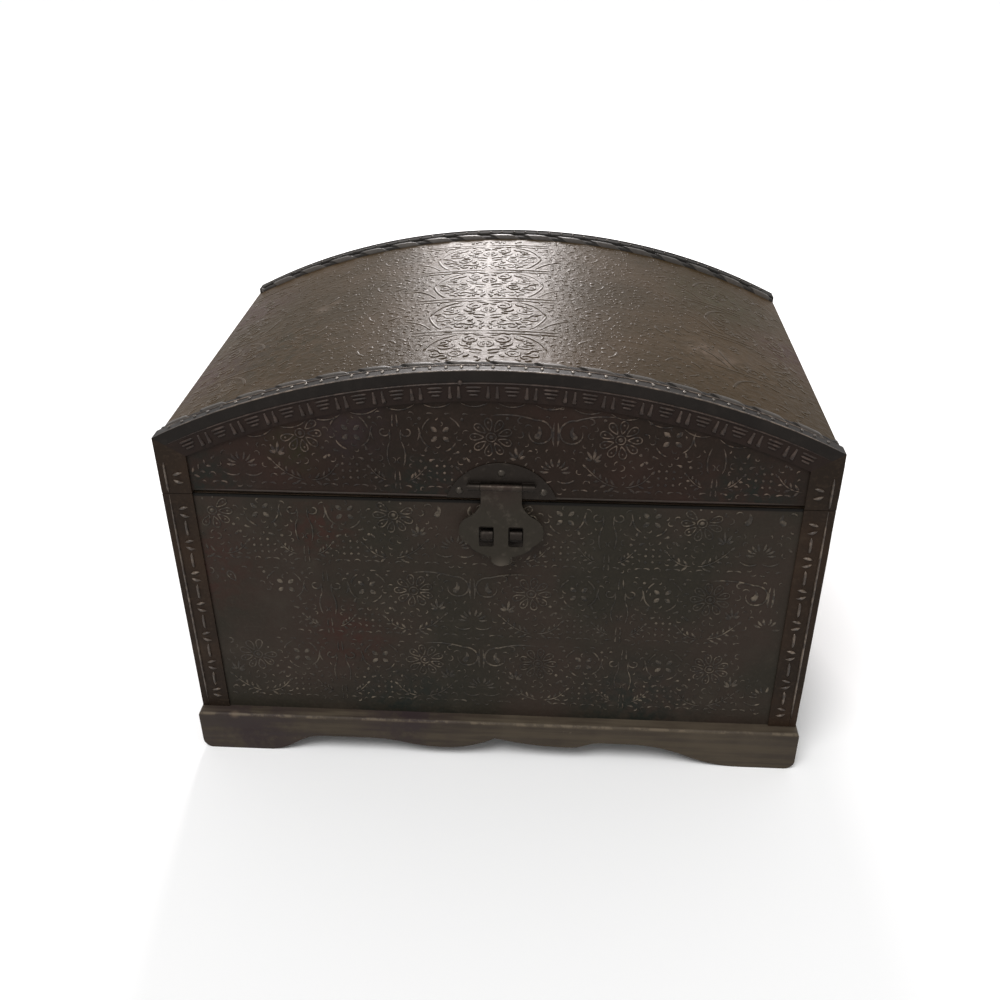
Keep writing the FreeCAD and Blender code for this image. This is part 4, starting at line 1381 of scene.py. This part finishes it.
rope_reach = BARREL_RADIUS * math.asin(COVER_X / (BARREL_RADIUS + ROPE_HEIGHT))
columns = rope_columns(rope_reach)
rope = rope_shape(columns, rope_reach)
for node, surface in (("rope_front", barrel_surface), ("rope_back", half_turned(barrel_surface))):
    piece = piece_of("twisted_" + node, [rope], surface, "lid", "rope")
    # Faces of the low strands take the darker covering: painted shade in the grooves
    piece.data.materials.append(finishes["rope_groove_shade"])
    piece.data.polygons.foreach_set("material_index", rope_groove_shade(columns))
    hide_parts(node)


# Thin wooden fillet inside the rim of the chest, which closes the seam under the lid, near black as painted
# seam shade

FILLET_THICKNESS = 2.0 * MM
FILLET_BELOW = 12 * MM
FILLET_ABOVE = 4.4 * MM
FILLET_ROUND = 0.6 * MM
FILLET_CLEARANCE = 0.4 * MM
FILLET_SECTION = (
    (0, -FILLET_BELOW),
    (FILLET_THICKNESS, -FILLET_BELOW),
    (FILLET_THICKNESS, FILLET_ABOVE - FILLET_ROUND),
    (FILLET_THICKNESS - FILLET_ROUND, FILLET_ABOVE),
    (FILLET_CLEARANCE + FILLET_ROUND, FILLET_ABOVE),
    (FILLET_CLEARANCE, FILLET_ABOVE - FILLET_ROUND),
    (FILLET_CLEARANCE, FILLET_ROUND),
    (0, 0),
)
CORNERS = ((-1, -1), (1, -1), (1, 1), (-1, 1))


def dust_fillet():
    """Frame with mitred corners: each corner holds one section, as inset and height."""
    inner_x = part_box("right_board")[0].x
    inner_y = -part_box("front_board")[1].y
    points = []
    for side_x, side_y in CORNERS:
        for inset, z in FILLET_SECTION:
            points.append((side_x * (inner_x - inset), side_y * (inner_y - inset), BODY_TOP + z))
    return np.array(points), ring_quads(len(CORNERS), len(FILLET_SECTION), closed=True)


fillet = piece_of("dust_fillet", [dust_fillet()], np.asarray, "chest", "fillet_wood_painted_shade")
fillet.data.polygons.foreach_set("use_smooth", np.zeros(len(fillet.data.polygons), bool))


# Worn edges of the sheet metal, the strips and the plinth

WELD_REACH = TINY / 10
SHARP_ANGLE = math.radians(40)
SOFT_EDGES = {
    "plinth": 0.9 * MM,
    "corner": 0.4 * MM,
    "lid_corner": 0.4 * MM,
    "hasp_": 0.25 * MM,
    "hinge_": 0.25 * MM,
}


def soften(node, width):
    """Small rounds on the sharp edges of a node, without a change to its mesh."""
    piece = frame["nodes"][node]
    weld = piece.modifiers.new("weld", "WELD")
    weld.merge_threshold = WELD_REACH
    bevel = piece.modifiers.new("bevel", "BEVEL")
    bevel.width = width
    bevel.segments = 2
    bevel.limit_method = "ANGLE"
    bevel.angle_limit = SHARP_ANGLE
    piece.modifiers.new("normals", "WEIGHTED_NORMAL")


for node in frame["nodes"]:
    for start, width in SOFT_EDGES.items():
        if node.startswith(start) and not node.endswith("nails"):
            soften(node, width)


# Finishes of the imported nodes

NODE_FINISHES = {
    "plinth_front": "plinth_wood_long", "plinth_back": "plinth_wood_long",
    "plinth_left": "plinth_wood_side", "plinth_right": "plinth_wood_side",
    "rim_edging_front": "edging_rim", "rim_edging_back": "edging_dull",
    "hasp_strap": "strap_metal", "lid_top_cover": "barrel_covering",
}
slots = {row["node"]: row["material_slot"] for row in frame["record"]["subparts"]}


def finish_of(node):
    """A node's own finish, or the one that is common to its kind."""
    if node in NODE_FINISHES:
        return NODE_FINISHES[node]
    if slots[node] == "covering":
        return "lid_covering" if node.startswith("lid_") else "chest_covering"
    return "dull_nail" if node.endswith("nails") else slots[node]


for node, piece in frame["nodes"].items():
    piece.data.materials.clear()
    piece.data.materials.append(finishes[finish_of(node)])


# Camera, light and floor

SKY_LIGHT = (0.55, 0.55, 0.55)
WHITE = (1.0, 1.0, 1.0)
TOP_PLACE = (-0.5, -0.9, 1.9)
TOP_POWER = 1.75
TOP_ANGLE = math.radians(30)
WINDOW_PLACE = (-0.19, 2.2, 1.12)
WINDOW_AIM = (0, 0, 0.28)
WINDOW_WIDTH = 0.56
WINDOW_HEIGHT = 0.7
WINDOW_POWER = 40
WINDOW_COLOUR = (1, 0.945, 0.935)
FLOOR_REACH = 40
FLOOR_ROUGHNESS = 0.9
FLOOR_BOUNCE = (0.36, 0.35, 0.34)
FLOOR_WHITE = (0.98, 0.98, 0.98)


def set_camera():
    camera = bpy.data.objects.new("camera", bpy.data.cameras.new("camera"))
    camera.data.sensor_width = SENSOR
    camera.data.lens = SENSOR * FOCAL_SHARE
    camera.data.clip_start = CLIP_START
    turn = Matrix.Rotation(CAMERA_YAW, 4, "Z") @ Matrix.Rotation(math.pi / 2 - CAMERA_PITCH, 4, "X")
    camera.matrix_world = Matrix.Translation(CAMERA_PLACE) @ turn @ Matrix.Rotation(CAMERA_ROLL, 4, "Z")
    bpy.context.scene.collection.objects.link(camera)
    bpy.context.scene.camera = camera


def aim(light, place, target):
    lamp = bpy.data.objects.new(light.name, light)
    lamp.location = place
    lamp.rotation_euler = (Vector(target) - Vector(place)).to_track_quat("-Z", "Y").to_euler()
    bpy.context.scene.collection.objects.link(lamp)


def if_seen(tree, unseen, seen):
    """One colour where it is seen straight or in a reflection, and another for scattered light."""
    rays = tree.nodes.new("ShaderNodeLightPath").outputs
    straight = rays["Is Camera Ray"]
    for name in ("Is Glossy Ray", "Is Transmission Ray"):
        either = add_node(tree, "ShaderNodeMath", {0: straight, 1: rays[name]}, operation="MAXIMUM")
        straight = either.outputs["Value"]
    inputs = {0: straight, 6: (*unseen, 1), 7: (*seen, 1)}
    return add_node(tree, "ShaderNodeMix", inputs, data_type="RGBA").outputs[2]


def set_light():
    """White surroundings, a soft light from above the front, and a window behind the trunk."""
    world = bpy.data.worlds.new("studio")
    world.use_nodes = True
    tree = world.node_tree
    plug(tree, tree.nodes["Background"].inputs["Color"], if_seen(tree, SKY_LIGHT, WHITE))
    bpy.context.scene.world = world
    top = bpy.data.lights.new("soft_top", "SUN")
    top.energy = TOP_POWER
    top.angle = TOP_ANGLE
    aim(top, TOP_PLACE, (0, 0, 0))
    window = bpy.data.lights.new("window", "AREA")
    window.shape = "RECTANGLE"
    window.size = WINDOW_WIDTH
    window.size_y = WINDOW_HEIGHT
    window.energy = WINDOW_POWER
    window.color = WINDOW_COLOUR
    aim(window, WINDOW_PLACE, WINDOW_AIM)


def set_floor():
    """White where it is seen, and dimmer as a light on the trunk, so that its relief keeps its shade."""
    finish = Finish("floor", Roughness=FLOOR_ROUGHNESS)
    finish.set(Base_Color=if_seen(finish.tree, FLOOR_BOUNCE, FLOOR_WHITE))
    mesh = bpy.data.meshes.new("floor")
    mesh.from_pydata([(x * FLOOR_REACH, y * FLOOR_REACH, 0) for x, y in CORNERS], [], [(0, 1, 2, 3)])
    mesh.materials.append(finishes["floor"])
    floor = bpy.data.objects.new("floor", mesh)
    bpy.context.scene.collection.objects.link(floor)


set_camera()
set_light()
set_floor()
bpy.context.scene.view_settings.view_transform = "Standard"
